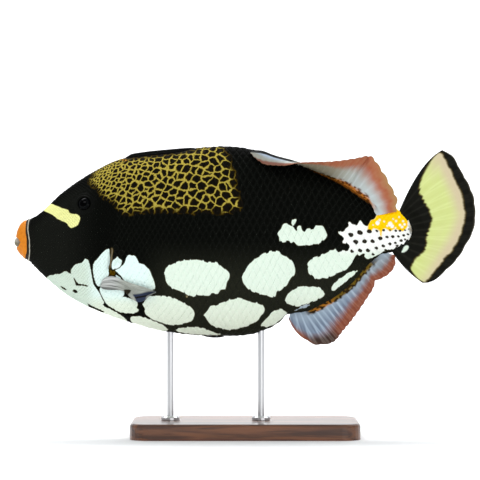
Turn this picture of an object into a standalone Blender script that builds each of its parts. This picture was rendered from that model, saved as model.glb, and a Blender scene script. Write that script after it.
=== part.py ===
"""Clown triggerfish, a still life-size display model on a flat base with two rods.

Metres, +Z up. The fish looks along -X and shows its left flank to -Y. The origin is the
centre of the base's underside. The sizes below are in millimetres, and the pieces are
built in millimetres and scaled to metres at the end.
"""

import math

import bmesh
import bpy
from mathutils import Matrix, Vector

MM = 0.001
GAP = 0.3  # clearance between neighbouring pieces

# Body outline seen from the side, as (x, height) from the lips to the tail fin
BACK = [
    (-162.4, 162.6), (-156.4, 165.6), (-150.4, 170.4), (-138.4, 181.8), (-120.4, 194.6),
    (-102.4, 204.3), (-84.0, 208.9), (-58.1, 212.6), (-46.9, 214.4), (-38.0, 216.3),
    (-14.0, 217.7), (6.0, 214.6), (38.6, 203.9), (70.1, 191.6), (91.9, 177.0), (98.6, 172.2),
    (106.1, 170.5), (121.5, 170.6),
]
BELLY = [
    (-162.4, 131.4), (-147.4, 116.6), (-129.4, 102.9), (-106.9, 92.0), (-84.4, 84.3),
    (-61.9, 78.4), (-33.4, 75.1), (-12.4, 75.2), (4.1, 76.4), (16.1, 80.0), (25.1, 85.3),
    (32.0, 91.2), (45.0, 92.8), (63.4, 101.1), (78.4, 112.5), (96.4, 131.6), (103.1, 136.1),
    (121.5, 138.6),
]
HALF_WIDTH = [
    (-162.4, 9.4), (-150.0, 12.5), (-135.0, 16.5), (-118.0, 21.0), (-95.0, 26.5),
    (-70.0, 29.5), (-40.0, 30.0), (-5.0, 28.0), (25.0, 23.0), (55.0, 16.5), (80.0, 11.2),
    (100.0, 8.0), (121.5, 6.2),
]
SNOUT_END = -162.4
BODY_END = 121.5
RISE_POWER = 0.92  # under 1 squares the section off, over 1 draws it to an edge
WIDTH_POWER = 1.12
BODY_STATIONS = ((SNOUT_END, 62.0, 30), (65.0, BODY_END, 20))  # closer towards the tail
BODY_AROUND = 32

# Thin cuts that part the body: a point on the cut and its slope, x per unit of height
GILL_CUT = (-100.1, 135.8, 0.15)
STALK_CUT = (80.0, 150.0, 0.0)
TAIL_CUT = (116.9, 154.0, 0.24)

# Lips, a fleshy muzzle that the line of the mouth divides
LIP_TOP = [(-171.6, 150.5), (-171.1, 153.2), (-169.8, 156.6), (-166.8, 160.6), (-162.7, 162.6)]
LIP_BOTTOM = [(-171.6, 141.6), (-170.8, 139.4), (-168.7, 136.5), (-165.5, 133.4), (-162.7, 131.6)]
LIP_HALF_WIDTH = [(-171.6, 3.6), (-170.8, 5.4), (-168.8, 7.8), (-165.4, 9.7), (-162.7, 9.2)]
LIP_STATIONS = 8
LIP_AROUND = 24
MOUTH_HEIGHT = 145.4
MOUTH_SOCKET = ((-170.4, 0.0, MOUTH_HEIGHT), (3.8, 5.8, 3.3))
GUM = ((-169.6, 0.0, MOUTH_HEIGHT), (1.6, 3.9, 2.0))
TEETH = [
    ((-170.6, 1.15, MOUTH_HEIGHT), (2.3, 1.3, 2.7)),
    ((-169.9, 3.35, MOUTH_HEIGHT), (1.9, 1.2, 2.2)),
]

# Eye, set high on the head inside a raised lid
EYE_X = -119.6
EYE_HEIGHT = 174.0
EYE_RADIUS = 6.2
EYE_DEPTH = 4.0  # centre of the eyeball under the skin
LID_RADIUS = 5.3
LID_THICKNESS = 1.0

NOSTRILS = [(-127.6, 176.9), (-125.2, 179.3)]
NOSTRIL_RADIUS = 0.6
NOSTRIL_DEPTH = 1.2
GILL_SLIT_HEIGHT = 132.8
GILL_SLIT_LENGTH = 16.5
GILL_SLIT_WIDTH = 1.6
GILL_SLIT_DEPTH = 2.4

# Enlarged scutes behind the gill slit
SCUTES = [(-95.6, 141.2), (-91.6, 137.4), (-96.8, 135.6), (-92.6, 132.2), (-97.4, 130.4)]
SCUTE_RADII = (2.5, 2.7, 0.9)

# Rows of small spines on the tail stalk: how many, then first and last (x, height)
SPINE_ROWS = [
    (8, (83.0, 152.2), (115.0, 154.0)),
    (8, (82.6, 145.5), (115.2, 150.0)),
    (8, (82.4, 138.6), (113.8, 145.4)),
    (3, (95.8, 136.6), (112.0, 142.2)),
]
SPINE_HEIGHT = 1.5
SPINE_RADIUS = 0.85
SPINE_SINK = 0.8
SPINE_LEAN = math.radians(50)

# First dorsal fin, folded back into its groove as one long spine
TRIGGER_TOP = [
    (-87.1, 209.2), (-83.6, 210.7), (-78.4, 212.2), (-70.7, 213.7), (-56.0, 215.1),
    (-43.6, 216.1), (-38.4, 216.3),
]
TRIGGER_HALF_WIDTH = [(-87.1, 0.9), (-82.0, 1.8), (-68.0, 1.8), (-50.0, 1.3), (-38.4, 0.6)]
TRIGGER_STATIONS = 12
GROOVE_ENDS = (-87.6, -37.8)
GROOVE_HALF_WIDTH = 2.2
GROOVE_DEPTH = 1.8

# Soft fins: margins as (share of the base from the front, x, height)
DORSAL_BASE = (6.0, 100.5)
DORSAL_MARGIN = [
    (0.0, 4.5, 212.2), (0.07, 8.6, 208.1), (0.16, 16.1, 204.0), (0.28, 28.1, 203.2),
    (0.4, 41.6, 204.1), (0.55, 62.6, 204.8), (0.68, 80.6, 207.0), (0.78, 93.8, 209.6),
    (0.85, 102.8, 199.7), (0.91, 110.0, 187.0), (0.96, 114.6, 176.4), (1.0, 114.6, 171.6),
]
DORSAL_RAY_LENGTH = [
    (0.0, 11.0), (0.07, 17.0), (0.16, 22.0), (0.28, 25.0), (0.4, 27.0), (0.55, 28.0),
    (0.68, 28.5), (0.78, 28.6), (0.85, 25.6), (0.91, 21.6), (0.96, 18.6), (1.0, 14.2),
]
DORSAL_FLOP = [(0.0, 1.0), (0.5, 1.0), (0.8, 0.0), (1.0, 0.0)]
DORSAL_RAYS = 25
ANAL_BASE = (34.0, 107.0)
ANAL_MARGIN = [
    (0.0, 32.7, 88.8), (0.025, 37.3, 80.3), (0.07, 46.3, 72.3), (0.11, 54.0, 68.5),
    (0.17, 64.8, 69.2), (0.33, 73.6, 79.8), (0.48, 81.8, 89.8), (0.65, 91.9, 104.3),
    (0.74, 96.8, 112.5), (0.77, 97.6, 115.8), (0.82, 103.6, 118.5), (0.88, 109.1, 122.5),
    (0.95, 112.9, 129.6), (1.0, 112.9, 136.2),
]
ANAL_RAYS = 21
RAY_HALF = 0.5  # half thickness over a ray
MEMBRANE_HALF = 0.3  # and between two rays
FIN_ROOT_HALF = 1.0
FIN_ROOT_REACH = 5.0
FIN_ROWS = 6
FIN_SCALLOP = 0.5

# Tail fin
TAIL_ROOT = ((120.9, 170.0), (113.6, 138.6))
TAIL_MARGIN = [
    (0.0, 147.9, 214.5), (0.06, 154.9, 210.8), (0.18, 162.4, 198.3), (0.29, 168.4, 187.5),
    (0.4, 172.3, 175.5), (0.49, 172.9, 164.6), (0.58, 171.2, 153.8), (0.67, 166.1, 144.0),
    (0.76, 160.5, 134.5), (0.86, 151.9, 125.2), (0.97, 136.9, 114.8), (1.0, 133.1, 114.8),
]
TAIL_BOW = ((-5.6, 13.5), (-6.6, -2.0))  # how far the outer rays bow from straight
TAIL_RAYS = 12
TAIL_ROWS = 9
TAIL_ROOT_REACH = 13.0

# Pectoral fins, folded back along the flank
PECTORAL_TOP = [
    (-107.3, 113.6), (-105.4, 117.8), (-102.4, 119.6), (-98.9, 120.0), (-94.9, 118.9),
    (-89.6, 116.2), (-82.1, 113.6), (-73.1, 111.8), (-65.6, 109.7),
]
PECTORAL_BOTTOM = [
    (-107.3, 112.4), (-105.4, 111.0), (-100.9, 110.5), (-94.9, 110.5), (-89.6, 109.6),
    (-86.6, 106.9), (-82.9, 103.9), (-78.4, 102.0), (-74.6, 103.1), (-70.1, 106.9),
    (-65.6, 109.1),
]
PECTORAL_THICKNESS = [(-107.3, 1.2), (-102.0, 2.6), (-95.0, 2.2), (-85.0, 1.1), (-65.6, 0.6)]
PECTORAL_LIFT = [(-107.3, 0.0), (-95.0, 0.0), (-78.0, 2.2), (-65.6, 2.6)]
PECTORAL_RAYS = 9
PECTORAL_ROWS = 12
PECTORAL_RIDGE = 0.35

# Stub of the pelvic spine at the lowest point of the belly
PELVIC_SPINE_ENDS = (-31.0, -15.5)
PELVIC_SPINE_HEIGHT = 0.8
PELVIC_SPINE_HALF_WIDTH = 1.7

# Stand
BASE_SIZE = (170.0, 90.0, 12.0)
BASE_CORNER_RADIUS = 14.0
BASE_EDGE_RADIUS = 2.5
ROD_RADIUS = 2.5
ROD_PLACES = {"stand_rod_front": -56.0, "stand_rod_rear": 12.0}
ROD_FOOT_RADIUS = 7.0
ROD_FOOT_HEIGHT = 3.0
ROD_SINK = 6.0  # how far a rod goes up into the belly
ROD_SIDES = 16


def remove_everything():
    for item in list(bpy.data.objects):
        bpy.data.objects.remove(item, do_unlink=True)


def new_collection(name):
    collection = bpy.data.collections.new(name)
    bpy.context.scene.collection.children.link(collection)
    return collection


# Curves through a few points

def slopes(points):
    """Slopes that keep a smooth curve from overshooting its points."""
    rises = [(b[1] - a[1]) / (b[0] - a[0]) for a, b in zip(points, points[1:])]
    inner = [0.0 if r * s <= 0 else 2 * r * s / (r + s) for r, s in zip(rises, rises[1:])]
    return [rises[0], *inner, rises[-1]]


def curve(points, x):
    """Height of the smooth curve through (x, height) points."""
    x = min(max(x, points[0][0]), points[-1][0])
    left = max(i for i, point in enumerate(points[:-1]) if point[0] <= x)
    (x0, y0), (x1, y1) = points[left], points[left + 1]
    tangents = slopes(points)
    span = x1 - x0
    t = (x - x0) / span
    return (
        y0 * (1 + 2 * t) * (1 - t) ** 2
        + tangents[left] * span * t * (1 - t) ** 2
        + y1 * t * t * (3 - 2 * t)
        - tangents[left + 1] * span * t * t * (1 - t)
    )


def margin_point(margin, share):
    """Point in the side view on a fin's margin, at a share of the way along its base."""
    x = curve([(point[0], point[1]) for point in margin], share)
    height = curve([(point[0], point[2]) for point in margin], share)
    return Vector((x, 0.0, height))


def smooth_step(value):
    value = min(max(value, 0.0), 1.0)
    return value * value * (3 - 2 * value)


# The body's surface

def section(x):
    """Middle height, half height and half width of the body at x."""
    top = curve(BACK, x)
    bottom = curve(BELLY, x)
    return (top + bottom) / 2, (top - bottom) / 2, curve(HALF_WIDTH, x)


def signed_power(value, power):
    return math.copysign(abs(value) ** power, value)


def flank(x, height):
    """Half width of the body at a height."""
    middle, half_height, half_width = section(x)
    level = min(abs(height - middle) / half_height, 1.0)
    sine = level ** (1 / RISE_POWER)
    return half_width * (1 - sine * sine) ** (WIDTH_POWER / 2)


def skin_point(x, height, side):
    """Point on the flank; side is -1 on the left and 1 on the right."""
    return Vector((x, side * flank(x, height), height))


def skin_normal(x, height, side):
    step = 0.5
    along = skin_point(x + step, height, side) - skin_point(x - step, height, side)
    up = skin_point(x, height + step, side) - skin_point(x, height - step, side)
    normal = along.cross(up).normalized()
    return normal if normal.y * side > 0 else -normal


def skin_frame(x, height, side, out=0.0):
    """Matrix with Z along the skin's normal and X as near as can be to the tail."""
    normal = skin_normal(x, height, side)
    tailward = (Vector((1, 0, 0)) - normal * normal.x).normalized()
    matrix = Matrix((tailward, normal.cross(tailward), normal)).transposed().to_4x4()
    return Matrix.Translation(skin_point(x, height, side) + normal * out) @ matrix


# Making and joining meshes

def add_object(name, mesh_data, collection):
    mesh = bpy.data.meshes.new(name)
    mesh_data.to_mesh(mesh)
    mesh_data.free()
    item = bpy.data.objects.new(name, mesh)
    collection.objects.link(item)
    return item


def loft(rings):
    """Closed body through rings of points, with flat ends."""
    body = bmesh.new()
    loops = [[body.verts.new(point) for point in ring] for ring in rings]
    count = len(rings[0])
    for here, following in zip(loops, loops[1:]):
        for index in range(count):
            nxt = (index + 1) % count
            body.faces.new((here[index], here[nxt], following[nxt], following[index]))
    body.faces.new(loops[0][::-1])
    body.faces.new(loops[-1])
    bmesh.ops.recalc_face_normals(body, faces=body.faces[:])
    return body


def spread(first, last, count):
    return [first + (last - first) * index / (count - 1) for index in range(count)]


def oval_ring(x, bottom, top, half_width, around, rise_power=1.0, width_power=1.0):
    ring = []
    for index in range(around):
        angle = 2 * math.pi * index / around
        height = (top + bottom) / 2 + (top - bottom) / 2 * signed_power(math.sin(angle), rise_power)
        ring.append((x, half_width * signed_power(math.cos(angle), width_power), height))
    return ring


def cut_away(body, point, normal, keep_ahead):
    """Cut a closed bmesh by a plane and close it again, keeping one side."""
    everything = body.verts[:] + body.edges[:] + body.faces[:]
    cut = bmesh.ops.bisect_plane(
        body, geom=everything, plane_co=point, plane_no=normal, dist=1e-5,
        clear_inner=keep_ahead, clear_outer=not keep_ahead,
    )
    rim = [item for item in cut["geom_cut"] if isinstance(item, bmesh.types.BMEdge)]
    bmesh.ops.contextual_create(body, geom=rim)
    bmesh.ops.recalc_face_normals(body, faces=body.faces[:])


def cut_plane(cut, ahead):
    """Plane of a thin cut through the body, half a gap before or behind its middle."""
    x, height, slope = cut
    normal = Vector((1.0, 0.0, -slope)).normalized()
    offset = GAP / 2 if ahead else -GAP / 2
    return Vector((x, 0.0, height)) + normal * offset, normal


def apply_modifiers(item):
    graph = bpy.context.evaluated_depsgraph_get()
    mesh = bpy.data.meshes.new_from_object(item.evaluated_get(graph))
    item.modifiers.clear()
    item.data = mesh


def keep_largest(item):
    """Drop every closed surface of a mesh but the largest."""
    body = bmesh.new()
    body.from_mesh(item.data)
    waiting = set(body.verts)
    groups = []
    while waiting:
        group = {waiting.pop()}
        edge_of_group = list(group)
        while edge_of_group:
            vert = edge_of_group.pop()
            for edge in vert.link_edges:
                other = edge.other_vert(vert)
                if other in waiting:
                    waiting.discard(other)
                    group.add(other)
                    edge_of_group.append(other)
        groups.append(group)
    groups.sort(key=len)
    loose = [vert for group in groups[:-1] for vert in group]
    bmesh.ops.delete(body, geom=loose, context="VERTS")
    body.to_mesh(item.data)
    body.free()


def combine(item, others, operation):
    """Join other closed objects to an object, or cut them from it, and remove them."""
    helpers = bpy.data.collections.new(item.name + "_helpers")
    bpy.context.scene.collection.children.link(helpers)
    for other in others:
        for owner in list(other.users_collection):
            owner.objects.unlink(other)
        helpers.objects.link(other)
    boolean = item.modifiers.new("Combine", "BOOLEAN")
    boolean.operation = operation
    boolean.solver = "EXACT"
    boolean.operand_type = "COLLECTION"
    boolean.collection = helpers
    apply_modifiers(item)
    for other in list(helpers.objects):
        bpy.data.objects.remove(other, do_unlink=True)
    bpy.data.collections.remove(helpers)
    keep_largest(item)


def ellipsoid(name, centre, radii, frame=None, segments=12, rings=8):
    ball = bmesh.new()
    bmesh.ops.create_uvsphere(ball, u_segments=segments, v_segments=rings, radius=1.0)
    bmesh.ops.scale(ball, vec=radii, verts=ball.verts[:])
    bmesh.ops.transform(ball, matrix=frame or Matrix.Translation(centre), verts=ball.verts[:])
    return add_object(name, ball, cutters)


def cylinder(name, radius, height, frame, sides=10, tip_radius=None):
    post = bmesh.new()
    bmesh.ops.create_cone(
        post, cap_ends=True, segments=sides, radius1=radius,
        radius2=radius if tip_radius is None else tip_radius, depth=height,
    )
    bmesh.ops.transform(post, matrix=frame, verts=post.verts[:])
    return add_object(name, post, cutters)


def finish(item, colour, roughness, metallic=0.0, smooth_angle=40.0):
    """Scale a piece to metres, shade it and give it its own material."""
    item.data.transform(Matrix.Scale(MM, 4))
    item.data.shade_smooth()
    item.data.set_sharp_from_angle(angle=math.radians(smooth_angle))
    material = bpy.data.materials.new(item.name)
    material.use_nodes = True
    shader = material.node_tree.nodes["Principled BSDF"]
    shader.inputs["Base Color"].default_value = (*colour, 1.0)
    shader.inputs["Roughness"].default_value = roughness
    shader.inputs["Metallic"].default_value = metallic
    item.data.materials.clear()
    item.data.materials.append(material)


# Body, parted into head, trunk and tail stalk

def whole_body():
    rings = []
    for x in [x for stretch in BODY_STATIONS for x in spread(*stretch)]:
        middle, half_height, half_width = section(x)
        rings.append(oval_ring(
            x, middle - half_height, middle + half_height, half_width, BODY_AROUND,
            RISE_POWER, WIDTH_POWER,
        ))
    return loft(rings)


def gill_slits():
    """Cutters for the short slit in front of each pectoral fin."""
    slits = []
    slope = GILL_CUT[2]
    x = GILL_CUT[0] + slope * (GILL_SLIT_HEIGHT - GILL_CUT[1])
    for side in (-1, 1):
        blade = bmesh.new()
        bmesh.ops.create_cube(blade, size=1.0)
        size = (GILL_SLIT_WIDTH, GILL_SLIT_LENGTH, 2 * GILL_SLIT_DEPTH)
        bmesh.ops.scale(blade, vec=size, verts=blade.verts[:])
        frame = skin_frame(x, GILL_SLIT_HEIGHT, side)
        lean = Matrix.Rotation(-side * math.atan(slope), 4, "Z")
        bmesh.ops.transform(blade, matrix=frame @ lean, verts=blade.verts[:])
        slits.append(add_object("gill_slit", blade, cutters))
    return slits


def make_head():
    body = whole_body()
    cut_away(body, *cut_plane(GILL_CUT, False), keep_ahead=False)
    head = add_object("head", body, model)
    lids = []
    holes = gill_slits()
    for side in (-1, 1):
        bpy.ops.mesh.primitive_torus_add(
            major_segments=20, minor_segments=6, major_radius=LID_RADIUS, minor_radius=LID_THICKNESS,
        )
        lid = bpy.context.object
        lid.data.transform(skin_frame(EYE_X, EYE_HEIGHT, side, 0.1))
        lids.append(lid)
        holes.append(ellipsoid(
            "eye_socket", None, (EYE_RADIUS + GAP,) * 3,
            skin_frame(EYE_X, EYE_HEIGHT, side, -EYE_DEPTH), segments=20, rings=12,
        ))
        for x, height in NOSTRILS:
            frame = skin_frame(x, height, side)
            holes.append(cylinder("nostril", NOSTRIL_RADIUS, 2 * NOSTRIL_DEPTH, frame, sides=6))
    combine(head, lids, "UNION")
    combine(head, holes, "DIFFERENCE")
    finish(head, (0.012, 0.012, 0.011), 0.45)


def make_trunk():
    body = whole_body()
    cut_away(body, *cut_plane(GILL_CUT, True), keep_ahead=True)
    cut_away(body, *cut_plane(STALK_CUT, False), keep_ahead=False)
    trunk = add_object("trunk", body, model)
    plates = [
        ellipsoid("scute", None, SCUTE_RADII, skin_frame(x, height, side), segments=8, rings=6)
        for side in (-1, 1)
        for x, height in SCUTES
    ]
    combine(trunk, plates, "UNION")
    holes = gill_slits()
    holes.append(spine_groove())
    for x in ROD_PLACES.values():
        frame = Matrix.Translation((x, 0.0, curve(BELLY, x)))
        holes.append(cylinder("rod_hole", ROD_RADIUS + GAP, 2 * ROD_SINK, frame, sides=ROD_SIDES))
    combine(trunk, holes, "DIFFERENCE")
    finish(trunk, (0.015, 0.015, 0.013), 0.5)


def make_tail_stalk():
    body = whole_body()
    cut_away(body, *cut_plane(STALK_CUT, True), keep_ahead=True)
    cut_away(body, *cut_plane(TAIL_CUT, False), keep_ahead=False)
    stalk = add_object("tail_stalk", body, model)
    spines = []
    for count, first, last in SPINE_ROWS:
        for index in range(count):
            share = (index / (count - 1)) ** 0.85
            x = first[0] + (last[0] - first[0]) * share
            height = first[1] + (last[1] - first[1]) * share
            for side in (-1, 1):
                length = SPINE_HEIGHT + SPINE_SINK
                stand = Matrix.Translation((0.0, 0.0, length / 2 - SPINE_SINK))
                lean = Matrix.Rotation(SPINE_LEAN, 4, "Y")
                frame = skin_frame(x, height, side) @ lean @ stand
                spines.append(cylinder("spine", SPINE_RADIUS, length, frame, sides=5, tip_radius=0.12))
    combine(stalk, spines, "UNION")
    finish(stalk, (0.8, 0.82, 0.78), 0.5)


# Mouth

def make_lips():
    for name, upper in (("lip_upper", True), ("lip_lower", False)):
        rings = []
        for x in spread(LIP_TOP[0][0], LIP_TOP[-1][0], LIP_STATIONS):
            rings.append(oval_ring(
                x, curve(LIP_BOTTOM, x), curve(LIP_TOP, x), curve(LIP_HALF_WIDTH, x), LIP_AROUND,
            ))
        muzzle = loft(rings)
        offset = GAP / 2 if upper else -GAP / 2
        cut_away(muzzle, Vector((0, 0, MOUTH_HEIGHT + offset)), Vector((0, 0, 1)), keep_ahead=upper)
        lip = add_object(name, muzzle, model)
        combine(lip, [ellipsoid("mouth_socket", *MOUTH_SOCKET, segments=16, rings=10)], "DIFFERENCE")
        finish(lip, (0.83, 0.27, 0.03), 0.45)


def make_teeth():
    for name, upper in (("teeth_upper", True), ("teeth_lower", False)):
        teeth = ellipsoid(name + "_whole", *GUM, segments=14, rings=8)
        others = []
        for (x, y, height), radii in TEETH:
            for side in (-1, 1):
                others.append(ellipsoid("tooth", (x, side * y, height), radii, segments=8, rings=8))
        combine(teeth, others, "UNION")
        body = bmesh.new()
        body.from_mesh(teeth.data)
        bpy.data.objects.remove(teeth, do_unlink=True)
        offset = GAP / 2 if upper else -GAP / 2
        cut_away(body, Vector((0, 0, MOUTH_HEIGHT + offset)), Vector((0, 0, 1)), keep_ahead=upper)
        half = add_object(name, body, model)
        finish(half, (0.62, 0.63, 0.6), 0.3)


def make_eyes():
    for name, side in (("eye_left", -1), ("eye_right", 1)):
        frame = skin_frame(EYE_X, EYE_HEIGHT, side, -EYE_DEPTH)
        eye = ellipsoid(name, None, (EYE_RADIUS,) * 3, frame, segments=16, rings=10)
        cutters.objects.unlink(eye)
        model.objects.link(eye)
        finish(eye, (0.008, 0.009, 0.012), 0.08)


# First dorsal fin in its groove

def spine_groove():
    rings = []
    for x in spread(*GROOVE_ENDS, TRIGGER_STATIONS):
        floor = curve(BACK, x) - GROOVE_DEPTH
        top = floor + 8.0
        rings.append([
            (x, -GROOVE_HALF_WIDTH, top), (x, -GROOVE_HALF_WIDTH, floor + 0.7),
            (x, -0.6 * GROOVE_HALF_WIDTH, floor), (x, 0.6 * GROOVE_HALF_WIDTH, floor),
            (x, GROOVE_HALF_WIDTH, floor + 0.7), (x, GROOVE_HALF_WIDTH, top),
        ])
    return add_object("spine_groove", loft(rings), cutters)


def make_first_dorsal():
    rings = []
    for x in spread(TRIGGER_TOP[0][0], TRIGGER_TOP[-1][0], TRIGGER_STATIONS):
        floor = curve(BACK, x) - GROOVE_DEPTH + 1.5 * GAP
        top = curve(TRIGGER_TOP, x)
        rings.append(oval_ring(x, floor, top, curve(TRIGGER_HALF_WIDTH, x), 10, 0.8, 0.8))
    spine = add_object("first_dorsal", loft(rings), model)
    finish(spine, (0.01, 0.01, 0.01), 0.45)


# Soft fins: a membrane whose own surface rises into a ridge over each ray

def membrane(name, columns, rows, place, half_thickness):
    """Thin closed sheet. place and half_thickness take a share along the base and out a ray."""
    sheet = bmesh.new()
    share_along = sheet.verts.layers.float.new("along")
    share_out = sheet.verts.layers.float.new("out")
    bmesh.ops.create_grid(sheet, x_segments=columns, y_segments=rows, size=0.5)
    for vert in sheet.verts:
        vert[share_along] = min(max(vert.co.x + 0.5, 0.0), 1.0)
        vert[share_out] = min(max(vert.co.y + 0.5, 0.0), 1.0)
    bmesh.ops.triangulate(sheet, faces=sheet.faces[:], quad_method="FIXED")
    doubled = bmesh.ops.extrude_face_region(sheet, geom=sheet.faces[:], use_keep_orig=True)
    far_side = {item for item in doubled["geom"] if isinstance(item, bmesh.types.BMVert)}
    for vert in sheet.verts:
        along = vert[share_along]
        out = vert[share_out]
        point, normal = place(along, out)
        side = 1 if vert in far_side else -1
        vert.co = point + normal * side * half_thickness(along, out)
    bmesh.ops.triangulate(sheet, faces=[face for face in sheet.faces if len(face.verts) > 3])
    bmesh.ops.recalc_face_normals(sheet, faces=sheet.faces[:])
    return add_object(name, sheet, model)


def bent_ray(root, bend, tip, out):
    """Point on a ray that leaves its root towards bend and ends at tip."""
    return root * (1 - out) ** 2 + bend * 2 * out * (1 - out) + tip * out * out


def with_normal(point_at):
    """Turn a function that gives a point into one that also gives the sheet's normal."""
    def place(along, out):
        step = 0.01
        low_along, high_along = max(along - step, 0.0), min(along + step, 1.0)
        low_out, high_out = max(out - step, 0.0), min(out + step, 1.0)
        across = point_at(high_along, out) - point_at(low_along, out)
        outward = point_at(along, high_out) - point_at(along, low_out)
        return point_at(along, out), across.cross(outward).normalized()
    return place


def on_ray(along, rays):
    """Whether a column of the grid lies on a ray, not between two."""
    return round(along * 2 * (rays - 1)) % 2 == 0


def ray_thickness(along, out, rays, length):
    """Half thickness: a ridge over each ray, thicker at the fleshy root, thin at the margin."""
    half = RAY_HALF if on_ray(along, rays) else MEMBRANE_HALF
    root = 1 - smooth_step(out * length / FIN_ROOT_REACH)
    half += (FIN_ROOT_HALF - half) * root
    return half + (MEMBRANE_HALF - half) * smooth_step(out) ** 4


def scalloped(out, along, rays, length):
    """Draw the margin in between two rays."""
    return out if on_ray(along, rays) else out * (1 - FIN_SCALLOP / length)


def profile_normal(points, x):
    """Unit vector that points up from a side-view outline."""
    step = 0.5
    slope = (curve(points, x + step) - curve(points, x - step)) / (2 * step)
    return Vector((-slope, 0.0, 1.0)).normalized()


def make_soft_dorsal():
    def ray(along, out):
        x = DORSAL_BASE[0] + (DORSAL_BASE[1] - DORSAL_BASE[0]) * along
        flop = curve(DORSAL_FLOP, along)
        lift = GAP + 0.1 + FIN_ROOT_HALF * flop
        root = Vector((x, 0.0, curve(BACK, x))) + profile_normal(BACK, x) * lift
        tip = margin_point(DORSAL_MARGIN, along)
        length = curve(DORSAL_RAY_LENGTH, along)
        seen = (tip - root).length
        tip.y = -math.sqrt(max(length * length - seen * seen, 0.0))
        bend = root + (tip - root) * 0.45
        bend.z += (root.z - bend.z) * flop + 2.0 * (1 - flop)
        return bent_ray(root, bend, tip, scalloped(out, along, DORSAL_RAYS, length))

    def half(along, out):
        return ray_thickness(along, out, DORSAL_RAYS, curve(DORSAL_RAY_LENGTH, along))

    fin = membrane("soft_dorsal", 2 * (DORSAL_RAYS - 1), FIN_ROWS, with_normal(ray), half)
    finish(fin, (0.62, 0.55, 0.52), 0.5)


def make_anal_fin():
    def ends(along):
        x = ANAL_BASE[0] + (ANAL_BASE[1] - ANAL_BASE[0]) * along
        root = Vector((x, 0.0, curve(BELLY, x))) - profile_normal(BELLY, x) * (GAP + 0.1)
        return root, margin_point(ANAL_MARGIN, along)

    def ray(along, out):
        root, tip = ends(along)
        bend = (root + tip) / 2 + Vector((0.0, -1.0, -1.5))
        out = scalloped(out, along, ANAL_RAYS, (tip - root).length)
        return bent_ray(root, bend, tip, out)

    def half(along, out):
        root, tip = ends(along)
        return ray_thickness(along, out, ANAL_RAYS, (tip - root).length)

    fin = membrane("anal_fin", 2 * (ANAL_RAYS - 1), FIN_ROWS, with_normal(ray), half)
    finish(fin, (0.5, 0.42, 0.45), 0.5)


def make_caudal_fin():
    def ends(along):
        (top_x, top), (low_x, low) = TAIL_ROOT
        root = Vector((top_x + (low_x - top_x) * along, 0.0, top + (low - top) * along))
        return root, margin_point(TAIL_MARGIN, along)

    def ray(along, out):
        root, tip = ends(along)
        edge = (2 * along - 1) ** 2
        bow_x, bow_height = TAIL_BOW[0] if along < 0.5 else TAIL_BOW[1]
        bend = (root + tip) / 2 + Vector((bow_x, 0.0, bow_height)) * edge
        out = scalloped(out, along, TAIL_RAYS, (tip - root).length)
        return bent_ray(root, bend, tip, out)

    def half(along, out):
        root, tip = ends(along)
        thin = RAY_HALF if on_ray(along, TAIL_RAYS) else MEMBRANE_HALF
        stalk = max(flank(root.x, root.z), thin)
        fleshy = 1 - smooth_step(out * (tip - root).length / TAIL_ROOT_REACH)
        near = thin + (stalk - thin) * fleshy
        return near + (MEMBRANE_HALF - near) * smooth_step(out) ** 4

    def place(along, out):
        return ray(along, out), Vector((0.0, 1.0, 0.0))

    fin = membrane("caudal_fin", 2 * (TAIL_RAYS - 1), TAIL_ROWS, place, half)
    finish(fin, (0.66, 0.72, 0.3), 0.5)


def make_pectoral_fins():
    first, last = PECTORAL_TOP[0][0], PECTORAL_TOP[-1][0]

    def place_on(side):
        def place(along, out):
            x = first + (last - first) * out
            low = curve(PECTORAL_BOTTOM, x)
            height = low + (curve(PECTORAL_TOP, x) - low) * along
            normal = skin_normal(x, height, side)
            lift = GAP + curve(PECTORAL_LIFT, x) + curve(PECTORAL_THICKNESS, x) / 2
            return skin_point(x, height, side) + normal * lift, normal
        return place

    def half(along, out):
        x = first + (last - first) * out
        thick = curve(PECTORAL_THICKNESS, x) / 2
        edge = math.sin(math.pi * min(max(along, 0.08), 0.92)) ** 0.5
        ridge = PECTORAL_RIDGE if on_ray(along, PECTORAL_RAYS) else 0.0
        return max(thick * edge - (PECTORAL_RIDGE - ridge) * 0.5, 0.25)

    for name, side in (("pectoral_left", -1), ("pectoral_right", 1)):
        fin = membrane(name, 2 * (PECTORAL_RAYS - 1), PECTORAL_ROWS, place_on(side), half)
        finish(fin, (0.5, 0.5, 0.47), 0.5)


def make_pelvic_spine():
    first, last = PELVIC_SPINE_ENDS
    rings = []
    for x in spread(first, last, 7):
        share = (x - first) / (last - first)
        depth = PELVIC_SPINE_HEIGHT * (0.45 + 0.55 * math.sin(math.pi * min(share * 0.7 + 0.1, 1)))
        half_width = PELVIC_SPINE_HALF_WIDTH * (0.4 + 0.6 * math.sin(math.pi * (0.15 + 0.7 * share)))
        top = curve(BELLY, x) - GAP - 0.05
        rings.append(oval_ring(x, top - depth, top, half_width, 8))
    spine = add_object("pelvic_spine", loft(rings), model)
    finish(spine, (0.02, 0.02, 0.02), 0.5)


# Stand

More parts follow.
